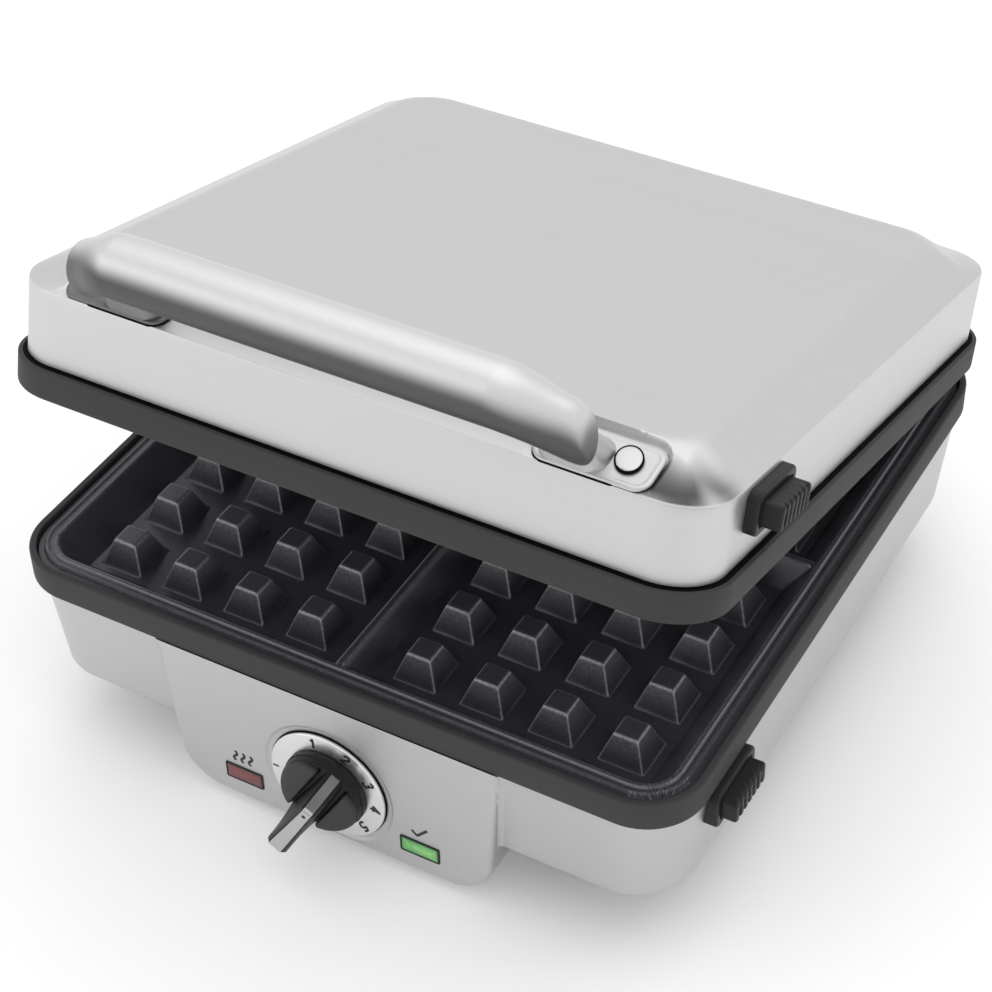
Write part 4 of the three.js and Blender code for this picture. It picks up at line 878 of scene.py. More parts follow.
    def build(self) -> None:
        """Builds the cover with its inner skin, its foot and the hole for the release button."""
        surface = Surface()
        for offset, order in ((0.0, 1), (self.sheet, -1)):
            points = self.shell(offset)
            centre = (points[:-1, :-1] + points[1:, 1:]) / 2
            hole = (centre[..., 0] > FRAME_HALF - 8) & within(centre[..., 1], self.hole_y)
            hole &= within(centre[..., 2], self.hole_z)
            points[..., 2] += lid_offset()
            keep = ~np.pad(hole, ((0, 0), (0, 1)))
            # The shade attribute carries the painted corner reflections and the painted shade under the handle.
            index = surface.grid(points, wrap_columns=True, keep=keep, shade=self.corner_shade(points))
            surface.cap(index[-1][::order])
        columns = index.shape[1]
        surface.grid(np.array([skin[:columns] for skin in surface.points]), wrap_columns=True)
        Piece("lid_cover_pressing", Palette.LID_STEEL, Body.LID, "lid_cover", 40).make(surface)


@dataclass
class Handle:
    """Cast bow with two feet and two mounting tabs, and a round cap on each tab."""

    half_span: float = 105.0
    shift: float = -1.5
    forward: Row = (18.4, 4.5)
    height: Row = (74.7, 62.6)
    half_height: Row = (11.9, 9.2)
    half_depth: Row = (13.0, 14.0)
    tilt: Row = (29.0, 56.0)
    bend_share: float = 0.72
    end_round: float = 10.0
    end_power: float = 3.2
    end_drop: float = 0.45
    tab_x: Row = (76.0, 121.0)
    tab_depth: float = 20.4
    tab_front: float = 1.5
    tab_back: float = 2.7
    # Painted shade on the left and the right tab; the left one darker, as if in the bow's shade.
    tab_shades: Row = (0.88, 0.16)
    foot_x: float = 91.0
    foot_top: float = 66.0
    # Painted shade on the left and the right foot; the left one darker, as if in the bow's shade.
    foot_shades: Row = (0.7, 0.1)
    cap_x: float = 109.5
    cap_radius: float = 4.7
    cap_oval: tuple[float, ...] = (0.96, 0.3, 0.2, 1.14)
    cap_middle: float = 11.6
    cap_lean: float = 3.5
    cap_lift: float = 0.3
    gap: float = 0.3
    slope: float = math.atan(POCKET_SLOPE)

    def bow(self) -> Array:
        """Bow as rings along X.

        Each ring is an ellipse that leans by the tilt. Its centre, half axes and tilt go smoothly from the
        grip's values to the end's past the bend share, and near the tip both half axes shrink like a
        superellipse, (1 - p^n)^(1/n), while the centre moves down the long axis by the drop's share of what
        it loses.
        """
        inner = np.linspace(-self.bend_share, self.bend_share, 61)
        outer = self.bend_share + (1 - self.bend_share) * np.sin(np.linspace(0, math.pi / 2, 61))[1:]
        share = np.concatenate([-outer[::-1], inner, outer])[:, None]
        x = share * self.half_span
        bend = smoothstep(self.bend_share, 1.0, np.abs(share))
        past = np.clip((np.abs(x) - self.half_span + self.end_round) / self.end_round, 0, 1)
        size = np.maximum(0.02, (1 - past**self.end_power) ** (1 / self.end_power))
        forward, height, up, out, tilt = (grip + (end - grip) * bend for grip, end in (
            self.forward, self.height, self.half_height, self.half_depth, self.tilt))
        tilt = np.radians(tilt)
        drop = self.end_drop * (1 - size) * out
        angle = np.linspace(0, 2 * math.pi, 65)[:-1]
        rise, run = size * up * np.sin(angle), size * out * np.cos(angle) - drop
        y = -FRAME_HALF - forward + run * np.cos(tilt) + rise * np.sin(tilt)
        z = height - drop * np.sin(tilt) - (run + drop) * np.sin(tilt) + rise * np.cos(tilt) + lid_offset()
        return np.stack([np.repeat(x + self.shift, len(angle), axis=1), y, z], axis=-1)

    def on_floor(self, points: Array) -> Array:
        """Lays points of X, distance behind the wall and height on the pocket's sloping floor."""
        behind, rise = points[..., 1], points[..., 2]
        y = behind * math.cos(self.slope) - rise * math.sin(self.slope) + LID_WALL_INSET - FRAME_HALF
        z = behind * math.sin(self.slope) + rise * math.cos(self.slope) + LID_WALL_TOP + lid_offset()
        return np.stack([points[..., 0], y, z], axis=-1)

    def tab_level(self, behind: Array) -> Array:
        """Height of the tab's face over the pocket's floor, at a distance behind the wall."""
        return self.tab_front + (self.tab_back - self.tab_front) * behind / self.tab_depth

    def tab_outline(self, side: int, ends: Row, near: float, far: float) -> Outline:
        """Rounded outline on one side, between two distances behind the wall."""
        x0, x1 = sorted(side * end for end in ends)
        return rounded_outline([(x1, near), (x1, far), (x0, far), (x0, near)], [6, 5, 5, 6], 10, 12)

    def tab(self, surface: Surface, side: int) -> None:
        """Adds one tab: a thin plate that rises towards the back, with an eased rim and a raised border."""
        low = -self.tab_front + 0.35
        rows = [(0.0, low), (0.0, -0.7), (0.2, -0.25), (0.7, 0.0), (1.6, 0.05), (2.1, -0.2), (2.8, -0.25)]
        plate = self.tab_outline(side, self.tab_x, self.gap, self.tab_depth).loops(rows, Facing.UP)
        plate[..., 2] += np.where(plate[..., 2] > low - 0.01, self.tab_level(plate[..., 1]), self.gap)
        surface.tube(self.on_floor(plate), self.tab_shades[side > 0])

    def gasket(self, name: str, side: int) -> None:
        """Builds a thin black strip, painted shadow that shows as a dark line under a tab's front edge."""
        ends = (self.tab_x[0] - 0.2, self.tab_x[1] - 8.0)
        outline = self.tab_outline(side, ends, 0.0, self.tab_depth - 1.0)
        surface = Surface()
        rows = [(0.0, -0.3), (0.0, 0.4), (0.1, 0.5), (3.0, 0.5)]
        surface.tube(self.on_floor(outline.loops(rows, Facing.UP)))
        Piece(f"handle_gasket_{name}", Palette.SEAL, Body.LID).make(surface)

    def foot(self, surface: Surface, side: int) -> None:
        """Adds the foot between the bow's end and its tab.

        It is a loft of rounded rectangles. Its half sizes flare by the fourth power of the distance from the
        top, so that it runs out in the tab.
        """
        loops = []
        for t in np.linspace(0, 1, 22):
            grow = (1 - t) ** 4
            half_x, half_y = 11.3 - 1.5 * t + 1.5 * grow, 7.9 - 2.3 * t + 0.8 * grow
            u, v = rectangle(0, 0, half_x, half_y, min(half_x, half_y) * 0.75).points.T
            low = self.on_floor(np.column_stack([u, 9.4 + v, self.tab_level(9.4 + v) - 0.2]))
            z = low[:, 2] + (self.foot_top + lid_offset() - low[:, 2]) * t
            loops.append(np.column_stack([u + side * self.foot_x, low[:, 1] - 17.0 * t, z]))
        surface.tube(np.array(loops), self.foot_shades[side > 0])

    def leaning(self, points: Array) -> Array:
        """Lays cap points on the tab's face, leaning forwards about the cap's middle.

        The cap is a slight oval: its round is sheared by a fixed two-by-two matrix, mirrored for the left
        one.
        """
        side = np.sign(points[..., 0])
        middle, level = self.cap_middle, float(self.tab_level(self.cap_middle)) + self.cap_lift
        lean = math.radians(self.cap_lean)
        dx, dy, dz = points[..., 0] - side * self.cap_x, points[..., 1] - middle, points[..., 2]
        x = side * self.cap_x + self.cap_oval[0] * dx - self.cap_oval[1] * side * dy
        dy = self.cap_oval[2] * side * dx + self.cap_oval[3] * dy
        y = middle + dy * math.cos(lean) - dz * math.sin(lean)
        z = level + dy * math.sin(lean) + dz * math.cos(lean)
        return self.on_floor(np.stack([x, y, z], axis=-1))

    def cap(self, name: str, side: int) -> None:
        """Builds one cap: a slightly domed disc in a black seal."""
        x, middle = side * self.cap_x, self.cap_middle
        disc, seal_and_shadow_ring = Surface(), Surface()
        rows = [(0.0, -2.0), (0.0, 0.5), (0.15, 0.66), (0.5, 0.74), (1.5, 0.84), (3.0, 0.94), (4.6, 1.0)]
        disc.tube(self.leaning(circle(self.cap_radius, x, middle, 56).loops(rows, Facing.UP)))
        Piece(f"handle_cap_{name}_disc", Palette.CAP_METAL, Body.LID, f"handle_cap_{name}").make(disc)
        rows = [(0.0, -2.2), (0.0, 0.45), (0.1, 0.55), (0.5, 0.55), (0.58, 0.45), (0.58, -2.2)]
        seal_and_shadow_ring.ring(self.leaning(circle(self.cap_radius + 0.6, x, middle, 56).loops(rows, Facing.UP)))
        Piece(f"handle_cap_{name}_seal", Palette.SEAL, Body.LID).make(seal_and_shadow_ring)

    def build(self) -> None:
        """Builds the casting and its caps. Painted shade darkens the bow where its face turns down."""
        surface = Surface()
        bow = self.bow()
        along, around = np.gradient(bow, axis=0), np.roll(bow, -1, axis=1) - np.roll(bow, 1, axis=1)
        normal = np.cross(around, along)
        normal /= np.maximum(np.linalg.norm(normal, axis=-1, keepdims=True), 1e-9)
        # Painted shade: the bow darkens where, with the lid ajar, its face turns down, more towards its left end,
        # standing in for a dark reflection from below.
        turned = turned_with_lid(normal + np.array([0, HINGE_Y, HINGE_Z]))
        facing = turned[..., 2] - HINGE_Z + 0.25 * turned[..., 0]
        outward = 1 if facing[len(bow) // 2, 16] > 0 else -1
        surface.tube(bow, 1 - smoothstep(0.1, 0.74, facing * outward))
        for side in (-1, 1):
            self.tab(surface, side)
            self.foot(surface, side)
        Piece("handle_casting", Palette.HANDLE_METAL, Body.LID, "lid_handle", 40).make(surface)
        for name, side in SIDES.items():
            self.cap(name, side)
            # Painted shadow: a black line under each tab's front edge.
            self.gasket(name, side)


@dataclass
class LidFrame:
    """Dark plastic ring under the lid's steel, with a neck that the steel stands over, and a painted shadow strip.
    """

    height: float = 12.4
    neck: float = 17.0
    rim: float = 22.0
    seal_foot: float = 13.05

    def build(self) -> None:
        """Builds the ring and the black painted shadow strip."""
        z = lid_offset()
        corners = [
            (0, 0), (3, 0), (3, 5.3), (7.7, 5.3), (7.7, 7.8), (7.1, 7.8), (7.1, self.rim), (5.5, self.rim),
            (5.5, self.neck), (5.15, self.neck), (5.15, self.height), (0, self.height)]
        radii = [1.2, 0.5, 0.3, 0.4, 0, 0, 0.3, 0.3, 0, 0.1, 0.1, 0.7]
        surface = ring_surface([(inset, height + z) for inset, height in corners], radii)
        Piece("lid_frame_ring", Palette.FRAME_PLASTIC, Body.LID, "lid_frame").make(surface)
        # Painted shadow: a black ring over the frame's top shelf and up the neck, in the gap under the steel.
        low, shelf, foot = self.height + z - 0.3, self.height + z + 0.08, z + self.seal_foot
        corners = [(1.8, low), (1.8, shelf), (3.4, shelf), (3.4, foot), (5.1, foot), (5.1, low)]
        seal_and_shadow_ring = ring_surface(corners, [0, 0.05, 0, 0.1, 0, 0])
        Piece("lid_frame_seal", Palette.SEAL, Body.LID).make(seal_and_shadow_ring)


# ---------------------------------------------------------------- plates and base
@dataclass
class GridPlate:
    """Cast grid plate: rim lip with a groove, a sloping well, four-by-four pyramids and a divider cross."""

    lip_inset: float = 6.2
    lip_width: float = 5.3
    groove_width: float = 2.3
    groove_depth: float = 0.8
    recess: float = 0.5
    flange_drop: float = 2.0
    flange_inset: float = 3.7
    well: float = 14.0
    wall_run: float = 11.5
    pyramid_height: float = 12.0
    pyramid_foot: float = 19.0
    pyramid_crown: float = 10.2
    first: float = 24.7
    pitch: float = 29.6
    divider_foot: float = 16.0
    divider_crest: float = 3.0
    round: float = 0.9
    worn_lip: tuple[float, ...] = (6.6, 7.9, 9.9, 11.3)

    @property
    def well_half(self) -> float:
        """Half the width of the well's floor."""
        return FRAME_HALF - self.lip_inset - self.lip_width - self.wall_run

    def step(self, value: Array) -> Array:
        """Number of the nearest pyramid, counted outwards from 0 to 3."""
        return np.clip(np.round((np.abs(value) - self.first) / self.pitch), 0, 3)

    def off(self, value: Array) -> Array:
        """Distance from the nearest pyramid's middle."""
        return np.abs(np.abs(value) - self.first - self.pitch * self.step(value))

    def lines(self) -> Array:
        """Grid lines along one direction, close together where the surface turns."""
        foot, crown, well = self.pyramid_foot / 2, self.pyramid_crown / 2, self.well_half
        around = np.concatenate([
            [-foot - 1.1, -foot - 0.5], spaced(-foot, -crown - 0.5, 0.75),
            [-crown, -crown + 0.5, -crown + 1.1, -1.6]])
        around = np.concatenate([around, -around])
        middle = np.concatenate([[0.0, 0.7, 1.5, 2.1], spaced(3, 7.4, 1.1), [8.0, 8.7, 9.5]])
        rim = np.concatenate([
            [well - 1.2, well - 0.5], spaced(well, well + self.wall_run, 0.9),
            spaced(well + self.wall_run + 0.4, FRAME_HALF - self.flange_inset, 0.4)])
        blocks = [self.first + self.pitch * number + around for number in range(4)]
        half = np.unique(np.round(np.concatenate([middle, *blocks, rim]), 3))
        return np.concatenate([-half[:0:-1], half])

    def depth(self, x: Array, y: Array) -> Array:
        """Depth below the meeting face.

        The rim is a profile of the distance inside the outline: flange, lip with a shallow groove, sloping
        wall, floor. Pyramids and divider bars are the softened smaller of their sloping sides and a flat
        crest, and the surface is the softened higher of all.

        Args:
            x: across.
            y: along the depth.

        Returns:
            Depths, with the lip's face at the recess.
        """
        inside = -rounded_distance(x, y, FRAME_HALF, FRAME_HALF, FRAME_CORNER)
        lip, mouth = self.lip_inset, self.lip_inset + self.lip_width
        groove = lip + (self.lip_width - self.groove_width) / 2
        end, foot = groove + self.groove_width, mouth + self.wall_run
        flat, floor = self.recess, self.recess + self.well
        flange, bed = flat + self.flange_drop, flat + self.groove_depth
        profile = fillet_path(
            [(0, flange), (lip, flange), (lip + 0.4, flat), (groove, flat), (groove + 0.5, bed),
             (end - 0.5, bed), (end, flat), (mouth, flat), (foot, floor), (FRAME_HALF, floor)],
            [0, 0.5, 0.5, 0.25, 0.3, 0.3, 0.25, 0.9, 1.6, 0], 5)
        rim = np.interp(inside, profile[:, 0], profile[:, 1])
        crown, crest = self.pyramid_crown / 2, self.divider_crest / 2
        rise = self.pyramid_height / (self.pyramid_foot / 2 - crown)
        bar_rise = self.pyramid_height / (self.divider_foot / 2 - crest)
        slope = rise * (soft_max(self.off(x), self.off(y), self.round) - crown)
        bar_slope = bar_rise * (np.minimum(np.abs(x), np.abs(y)) - crest)
        raised = soft_min(soft_max(slope, 0.0, self.round * 1.6), soft_max(bar_slope, 0.0, 1.4), 1.0)
        near = np.maximum(np.abs(x), np.abs(y)) < self.well_half + 8
        return soft_min(rim, np.where(near, floor - self.pyramid_height + raised, 99.0), 1.3)

    def wear(self, x: Array, y: Array) -> Array:
        """Scuffed edges with painted highlights on the pyramids, on the divider's crest and along the lip.

        An edge is where two sloping sides are equally far from the pyramid's middle, or where a side meets
        the crown. Each gives a narrow bell, and the largest of them counts.
        """
        off_x, off_y = self.off(x), self.off(y)
        far = np.maximum(off_x, off_y)
        crown, foot = self.pyramid_crown / 2, self.pyramid_foot / 2
        # Painted highlights on scuffed edges: the pyramids' corners and crowns, the divider's crest, the lip.
        slope = bell(off_x - off_y, 0.5) * (far > crown - 0.4) * (far < foot - 0.2)
        # A lighter tone that grows up the pyramids' sloping sides.
        side = 0.24 * smoothstep(foot, crown, far) * smoothstep(crown - 0.9, crown, far)
        top = 0.8 * bell(far - crown, 0.45)
        crest = 0.5 * bell(np.minimum(np.abs(x), np.abs(y)) - self.divider_crest / 2, 0.4)
        inside = -rounded_distance(x, y, FRAME_HALF, FRAME_HALF, FRAME_CORNER)
        lip = 0.4 * sum(bell(inside - place, 0.3) for place in self.worn_lip)
        well = inside > self.lip_inset + self.lip_width + 2
        return np.clip(np.where(well, np.maximum.reduce([slope, side, top, crest]), lip), 0, 1)

    def build(self, name: str, body: Body, zero: float, sign: int) -> None:
        """Builds one plate.

        Args:
            name: the CAD node that it stands for.
            body: the body that it rides on.
            zero: height of the meeting face.
            sign: which way depth runs from there, up or down.
        """
        lines = self.lines()
        x, y = np.meshgrid(lines, lines)
        depth, wear_and_highlight = self.depth(x, y), self.wear(x, y)
        edge, corner = FRAME_HALF - self.flange_inset, FRAME_CORNER - self.flange_inset
        outside = rounded_distance(x, y, edge, edge, corner) > 0
        centre_x, centre_y = np.sign(x) * (edge - corner), np.sign(y) * (edge - corner)
        share = corner / np.maximum(np.hypot(x - centre_x, y - centre_y), 1e-6)
        x = np.where(outside, centre_x + (x - centre_x) * share, x)
        y = np.where(outside, centre_y + (y - centre_y) * share, y)
        depth = np.where(outside, self.recess + self.flange_drop, depth)
        centre = (lines[:-1] + lines[1:]) / 2
        nearest = np.sign(centre) * (self.first + self.pitch * self.step(centre))
        rim = np.abs(centre) > FRAME_HALF - FRAME_CORNER - 15
        side = np.where(rim, np.sign(centre), np.sign(centre - nearest))
        surface = Surface()
        points = np.stack([x, y, zero + sign * depth], axis=-1)
        surface.grid(points, shade=wear_and_highlight, rising=np.outer(side, side) > 0)
        corners = [(3.7, 2.5), (3.7, 5.0), (8.5, 5.0), (21.5, 18.5), (30, 18.5)]
        back = fillet_path(corners, [0, 0.5, 1, 2, 0], 3)
        back[:, 1] = zero + sign * back[:, 1]
        index = surface.grid(swept_ring(back, FRAME_CORNER, Stations.plain(24)), wrap_columns=True)
        surface.cap(index[-1])
        Piece(f"{name}_casting", Palette.PLATE_COATING, body, name, 50).make(surface)


class BaseFrame:
    """Dark plastic ring between the housing and the lower plate."""

    def build(self) -> None:
        """Builds the ring."""
        top, shelf, foot = BASE_FRAME_HEIGHT, BASE_FRAME_HEIGHT - 5.3, BASE_FRAME_HEIGHT - 7.8
        corners = [(0, 0), (0, top), (3, top), (3, shelf), (7.7, shelf), (7.7, foot), (6.4, foot), (6.4, 0)]
        surface = ring_surface(corners, [0.15, 1.0, 0.5, 0.3, 0.4, 0, 0, 0])
        Piece("base_frame_ring", Palette.FRAME_PLASTIC, Body.BASE, "base_frame").make(surface)


@dataclass
class Housing:
    """Tapered steel skirt with a control console pressed out of its front."""

    top_inset: float = 1.5
    toe_inset: float = 6.0
    height: float = 47.0
    corner: float = 31.0
    sheet: float = 1.2
    top: float = -0.05
    console_depth: float = 40.0
    console_height: float = 74.0
    console_top_half: float = 77.0
    console_foot_half: float = 71.0
    console_corner: float = 20.0
    console_round: float = 2.6
    console_blend: float = 2.0
    console_wall: float = 7.0
    dish_radius: float = 29.5
    dish_depth: float = 0.8
    dish_edge: float = 0.8
    hole_y: Row = (-117.4, -90.6)
    hole_z: Row = (-16.3, -5.6)
    gland: Row = (-62.0, -26.0)
    gland_half: float = 6.0

    def skirt_inset(self, z: Array) -> Array:
        """Distance of the skirt's face inside the frames' outline at a height."""
        return self.top_inset - (self.toe_inset - self.top_inset) * z / self.height

    def console_half(self, z: Array) -> Array:
        """Half the console's width at a height, above its round lower corners."""
        share = np.clip(-z / self.console_height, 0, 1)
        return self.console_top_half + (self.console_foot_half - self.console_top_half) * share

    def stations(self) -> Stations:
        """Lines along the edges of the button's and the gland's holes, and fine ones beside the console."""
        right = [*self.hole_y, -40, 0, 40, 80]
        back = [-90, -40, 0, 40, -self.gland[0] - self.gland_half, -self.gland[0] + self.gland_half, 90]
        left = np.linspace(-1, 1, 7)[1:-1] * (FRAME_HALF - self.corner)
        front = [-90.0, *spaced(-82, -68, 0.5), *spaced(-60, 60, 20), *spaced(68, 82, 0.5), 90.0]
        sides = [shares(places, FRAME_HALF - self.corner) for places in (right, back, left, front)]
        return Stations(sides, [np.linspace(0, 1, 19)] * 4)

    def skirt(self, surface: Surface) -> None:
        """Adds the skirt: loops that draw in towards the toe, with a blend against the console's sides.

        The blend moves the front face forwards by r - sqrt(r^2 - (r - d)^2) at a distance d from the console.
        """
        (across, level), half, blend = self.gland, self.gland_half, self.console_blend
        heights = np.concatenate([
            [self.top, self.hole_z[1], self.hole_z[0], level + half, level - half], spaced(-36, -45.6, 2.5),
            [-46.3, -46.8, -47.0]])
        rolls = np.zeros(len(heights))
        rolls[-3:] = [0.1, 0.5, 1.2]
        insets = self.skirt_inset(heights)
        outer, inner = (np.column_stack([insets + more, heights]) for more in (rolls, self.sheet))
        grid = swept_ring(np.concatenate([outer, inner[::-1]]), self.corner, self.stations())
        x, y, z = np.moveaxis(grid, -1, 0)
        near = np.clip(np.abs(x) - self.console_half(z), 0, blend)
        lift = blend - np.sqrt(np.maximum(blend**2 - (blend - near) ** 2, 0))
        front = (y < -FRAME_HALF + 12) & (np.abs(x) < 110)
        front[len(heights):] = False
        grid[..., 1] = np.where(front, y - lift, y)
        x, y, z = np.moveaxis((grid[:-1, :-1] + grid[1:, 1:]) / 2, -1, 0)
        hole = (x > FRAME_HALF - 9) & within(y, self.hole_y) & within(z, self.hole_z)
        hole |= (y > FRAME_HALF - 9) & (np.abs(x - across) < half) & (np.abs(z - level) < half)
        surface.grid(grid, wrap_rows=True, wrap_columns=True, keep=~np.pad(hole, ((0, 1), (0, 1))))

    def console_loop(self, inset: float) -> Array:
        """Console outline, its sides and foot moved inwards, its top edge kept under the frame."""
        half, foot = self.console_top_half - inset, self.console_foot_half - inset
        low, corner = inset - self.console_height, self.console_corner - inset
        ends = [(foot, low), (half, self.top), (-half, self.top), (-foot, low)]
        return rounded_outline(ends, [corner, 0.3, 0.3, corner], 14, 12).points

    def console(self, surface: Surface) -> None:
        """Adds the console: a front face with the dial's dish, rounded edges and walls that run back.

        Round the dial's centre the outline is taken at its own angles. The face is the straight mix of the
        dish's rim and the outline, and the walls follow the outline with a quarter-round edge.
        """
        start, middle, face = self.console_loop(self.console_round), np.array([0.0, DIAL_Z]), CONSOLE_FACE
        reach = np.linalg.norm(start - middle, axis=1, keepdims=True)
        ways = (start - middle) / reach
        rim = self.dish_radius + self.dish_edge

        def ring(radius: float) -> Array:
            """One of the dish's rings, kept inside the face's outline."""
            return middle + ways * np.minimum(radius, reach - 0.2 - 0.5 * (rim - radius))

        dish = ((20.0, self.dish_depth), (rim - 2.1, self.dish_depth), (rim - 1.6, self.dish_depth - 0.1),
                (rim - 1.1, self.dish_depth / 2), (rim - 0.6, 0.1), (rim, 0.0))
        rows = [(ring(radius), face - depth) for radius, depth in dish]
        rows += [(ring(rim) * (1 - share) + start * share, face) for share in np.linspace(0, 1, 8)[1:]]
        edge = rounded_edge(self.console_round, face, 5)[-2::-1]
        rows += [(self.console_loop(inset), depth) for inset, depth in edge]
        back, whole = face - self.console_depth, self.console_loop(0.0)
        sunk, end = np.minimum(whole, [1e3, -9.0]), np.minimum(self.console_loop(1.0), [1e3, -9.5])
        wall = face - self.console_wall
        rows += [(whole, wall), (sunk, wall - 0.6), (sunk, back + 1.2), (end, back)]
        index = surface.grid(Facing.FRONT.place(stacked(rows)), wrap_columns=True)
        surface.cap(index[0], index[-1][::-1])

    def build(self) -> None:
        """Builds skirt and console as one pressing."""
        surface = Surface()
        self.skirt(surface)
        self.console(surface)
        Piece("base_housing_pressing", Palette.HOUSING_STEEL, Body.BASE, "base_housing", 30).make(surface)


@dataclass
class Feet:
    """Four turned rubber feet under the bottom cover."""

    x: float = 100.0
    y: Row = (-83.5, 100.0)
    top: float = -66.3
    floor: float = -78.0
    radius: float = 11.0

    def build(self) -> None:
        """Builds the feet: a drum with a rounded edge and a hollow in its sole."""
        top, floor, hollow = self.top, self.floor, self.floor + 0.8
        corners = [(0, top), (self.radius, top), (9.5, floor), (6.5, floor), (6.2, hollow), (0, hollow)]
        rows = [(self.radius - r, z) for r, z in fillet_path(corners, [0, 0.6, 1.5, 0.3, 0.2, 0], 4)[1:-1]]
        for end, y in zip(("front", "rear"), self.y):
            for name, side in SIDES.items():
                foot = Surface()
                foot.tube(circle(self.radius, side * self.x, y, 48).loops(rows, Facing.UP))
                node = f"foot_{end}_{name}"
                Piece(f"{node}_rubber", Palette.FOOT_RUBBER, Body.BASE, node).make(foot)


# ---------------------------------------------------------------- controls
def printed_stroke(surface: Surface, line: Array, half: float, face: float) -> None:
    """Adds a flat printed stroke of even width along a line, a little proud of a face that looks forwards.

    Args:
        surface: where it is added.
        line: points of X and Z.
        half: half its width.
        face: distance of the face in front of the axis.
    """
    along = np.gradient(line, axis=0)
    along /= np.linalg.norm(along, axis=1, keepdims=True)
    side = np.column_stack([-along[:, 1], along[:, 0]]) * half
    section = ((-1, 0.0), (-1, 0.06), (1, 0.06), (1, 0.0))
    rows = [(line + sign * side, face + depth) for sign, depth in section]
    surface.strip(Facing.FRONT.place(stacked(rows)))


def on_dial(points: Array, degrees: float) -> Array:
    """Points of u and v turned clockwise about the dial's middle: u cos a + v sin a and v cos a - u sin a."""
    u, v, turn = points[..., 0], points[..., 1], math.radians(degrees)
    return np.stack([
        u * math.cos(turn) + v * math.sin(turn), v * math.cos(turn) - u * math.sin(turn) + DIAL_Z], axis=-1)


def arc(u: float, v: float, radius: float, start: float, end: float, steps: int = 24) -> Array:
    """Arc of a circle between two angles in degrees."""
    turn = np.radians(np.linspace(start, end, steps + 1))
    return np.column_stack([u + radius * np.cos(turn), v + radius * np.sin(turn)])


def straight(*corners: Row) -> Array:
    """Straight run of points between corners, close to each corner's two sides."""
    return fillet_path(corners, [0.0] + [0.03] * (len(corners) - 2) + [0.0], 4)


NUMERALS: dict[str, list[Array]] = {
    "1": [straight((-0.22, 0.22), (0.02, 0.46)), straight((0.02, 0.5), (0.02, -0.5))],
    "2": [np.concatenate([arc(0.0, 0.22, 0.27, 170, -38), [(-0.29, -0.47)]]),
          straight((-0.3, -0.44), (0.31, -0.44))],
    "3": [arc(-0.02, 0.24, 0.23, 160, -92), arc(-0.02, -0.2, 0.27, 92, -160)],
    "4": [straight((0.12, -0.5), (0.12, 0.5)), straight((0.14, 0.46), (-0.32, -0.2)),
          straight((-0.34, -0.2), (0.34, -0.2))],
    "5": [straight((0.28, 0.45), (-0.2, 0.45)), straight((-0.17, 0.47), (-0.23, 0.02)),
          arc(-0.01, -0.17, 0.29, 130, -150)],
}


@dataclass
class Dial:
    """Silver dial ring with printed numerals 1 to 5 and a tick."""

    back: float = 150.0
    front: float = 151.5
    radius: float = 26.2
    hole: float = 8.0
    numeral_radius: float = 22.1
    numeral_height: float = 4.8
    numeral_half: float = 0.55
    numeral_slant: float = 0.16
    places: tuple[float, ...] = (-12.8, 26.2, 61.9, 96.6, 134.0)
    tick_degrees: float = -91.0
    tick_half: float = 0.45
    tick_reach: Row = (22.6, 25.4)

    def build(self) -> None:
        """Builds the ring, the gap round it and the print."""
        surface, gap, tick = Surface(), Surface(), Surface()
        bore = self.radius - self.hole
        rows = eased(self.back, self.front, 0.0, 0.5)
        rows += [(bore, self.front), (bore, self.back), (0.0, self.back)]
        surface.grid(circle(self.radius, 0, DIAL_Z, 96).loops(rows, Facing.FRONT), wrap_columns=True)
        Piece("dial_ring_disc", Palette.DIAL_SILVER, Body.BASE, "dial_ring").make(surface)
        low, high = self.back - 2.4, self.back + 0.3
        ring = circle(self.radius + 0.35, 0, DIAL_Z, 96).loops(
            [(0.0, low), (0.0, high), (1.6, high), (1.6, low)], Facing.FRONT)
        draw_in = 1 - 0.03 * (1 - smoothstep(1.5 - self.radius, 6.0 - self.radius, ring[..., 2:] - DIAL_Z))
        ring[..., ::2] = [0, DIAL_Z] + (ring[..., ::2] - [0, DIAL_Z]) * draw_in
        gap.ring(ring)
        Piece("dial_shadow_gap", Palette.SEAL, Body.BASE).make(gap)
        for number, degrees in enumerate(self.places, 1):
            self.numeral(str(number), degrees)
        half, (near, far) = self.tick_half, self.tick_reach
        ends = on_dial(np.array([(-half, near), (half, near), (half, far), (-half, far)]), self.tick_degrees)
        rows = [(0, self.front - 0.05), (0, self.front + 0.06)]
        tick.tube(rounded_outline(ends, [0.1] * 4, 2).loops(rows, Facing.FRONT))
        Piece("dial_tick", Palette.INK, Body.BASE).make(tick)

    def numeral(self, text: str, degrees: float) -> None:
        """Prints one numeral, its top away from the dial's centre.

        Args:
            text: the numeral.
            degrees: its clock angle from the top.
        """
        surface = Surface()
        for number, line in enumerate(NUMERALS[text]):
            u = (line[:, 0] + self.numeral_slant * line[:, 1]) * self.numeral_height
            v = line[:, 1] * self.numeral_height + self.numeral_radius
            turned = on_dial(np.column_stack([u, v]), degrees)
            printed_stroke(surface, turned, self.numeral_half, self.front + 0.01 * number)
        Piece(f"dial_numeral_{text}", Palette.INK, Body.BASE).make(surface)


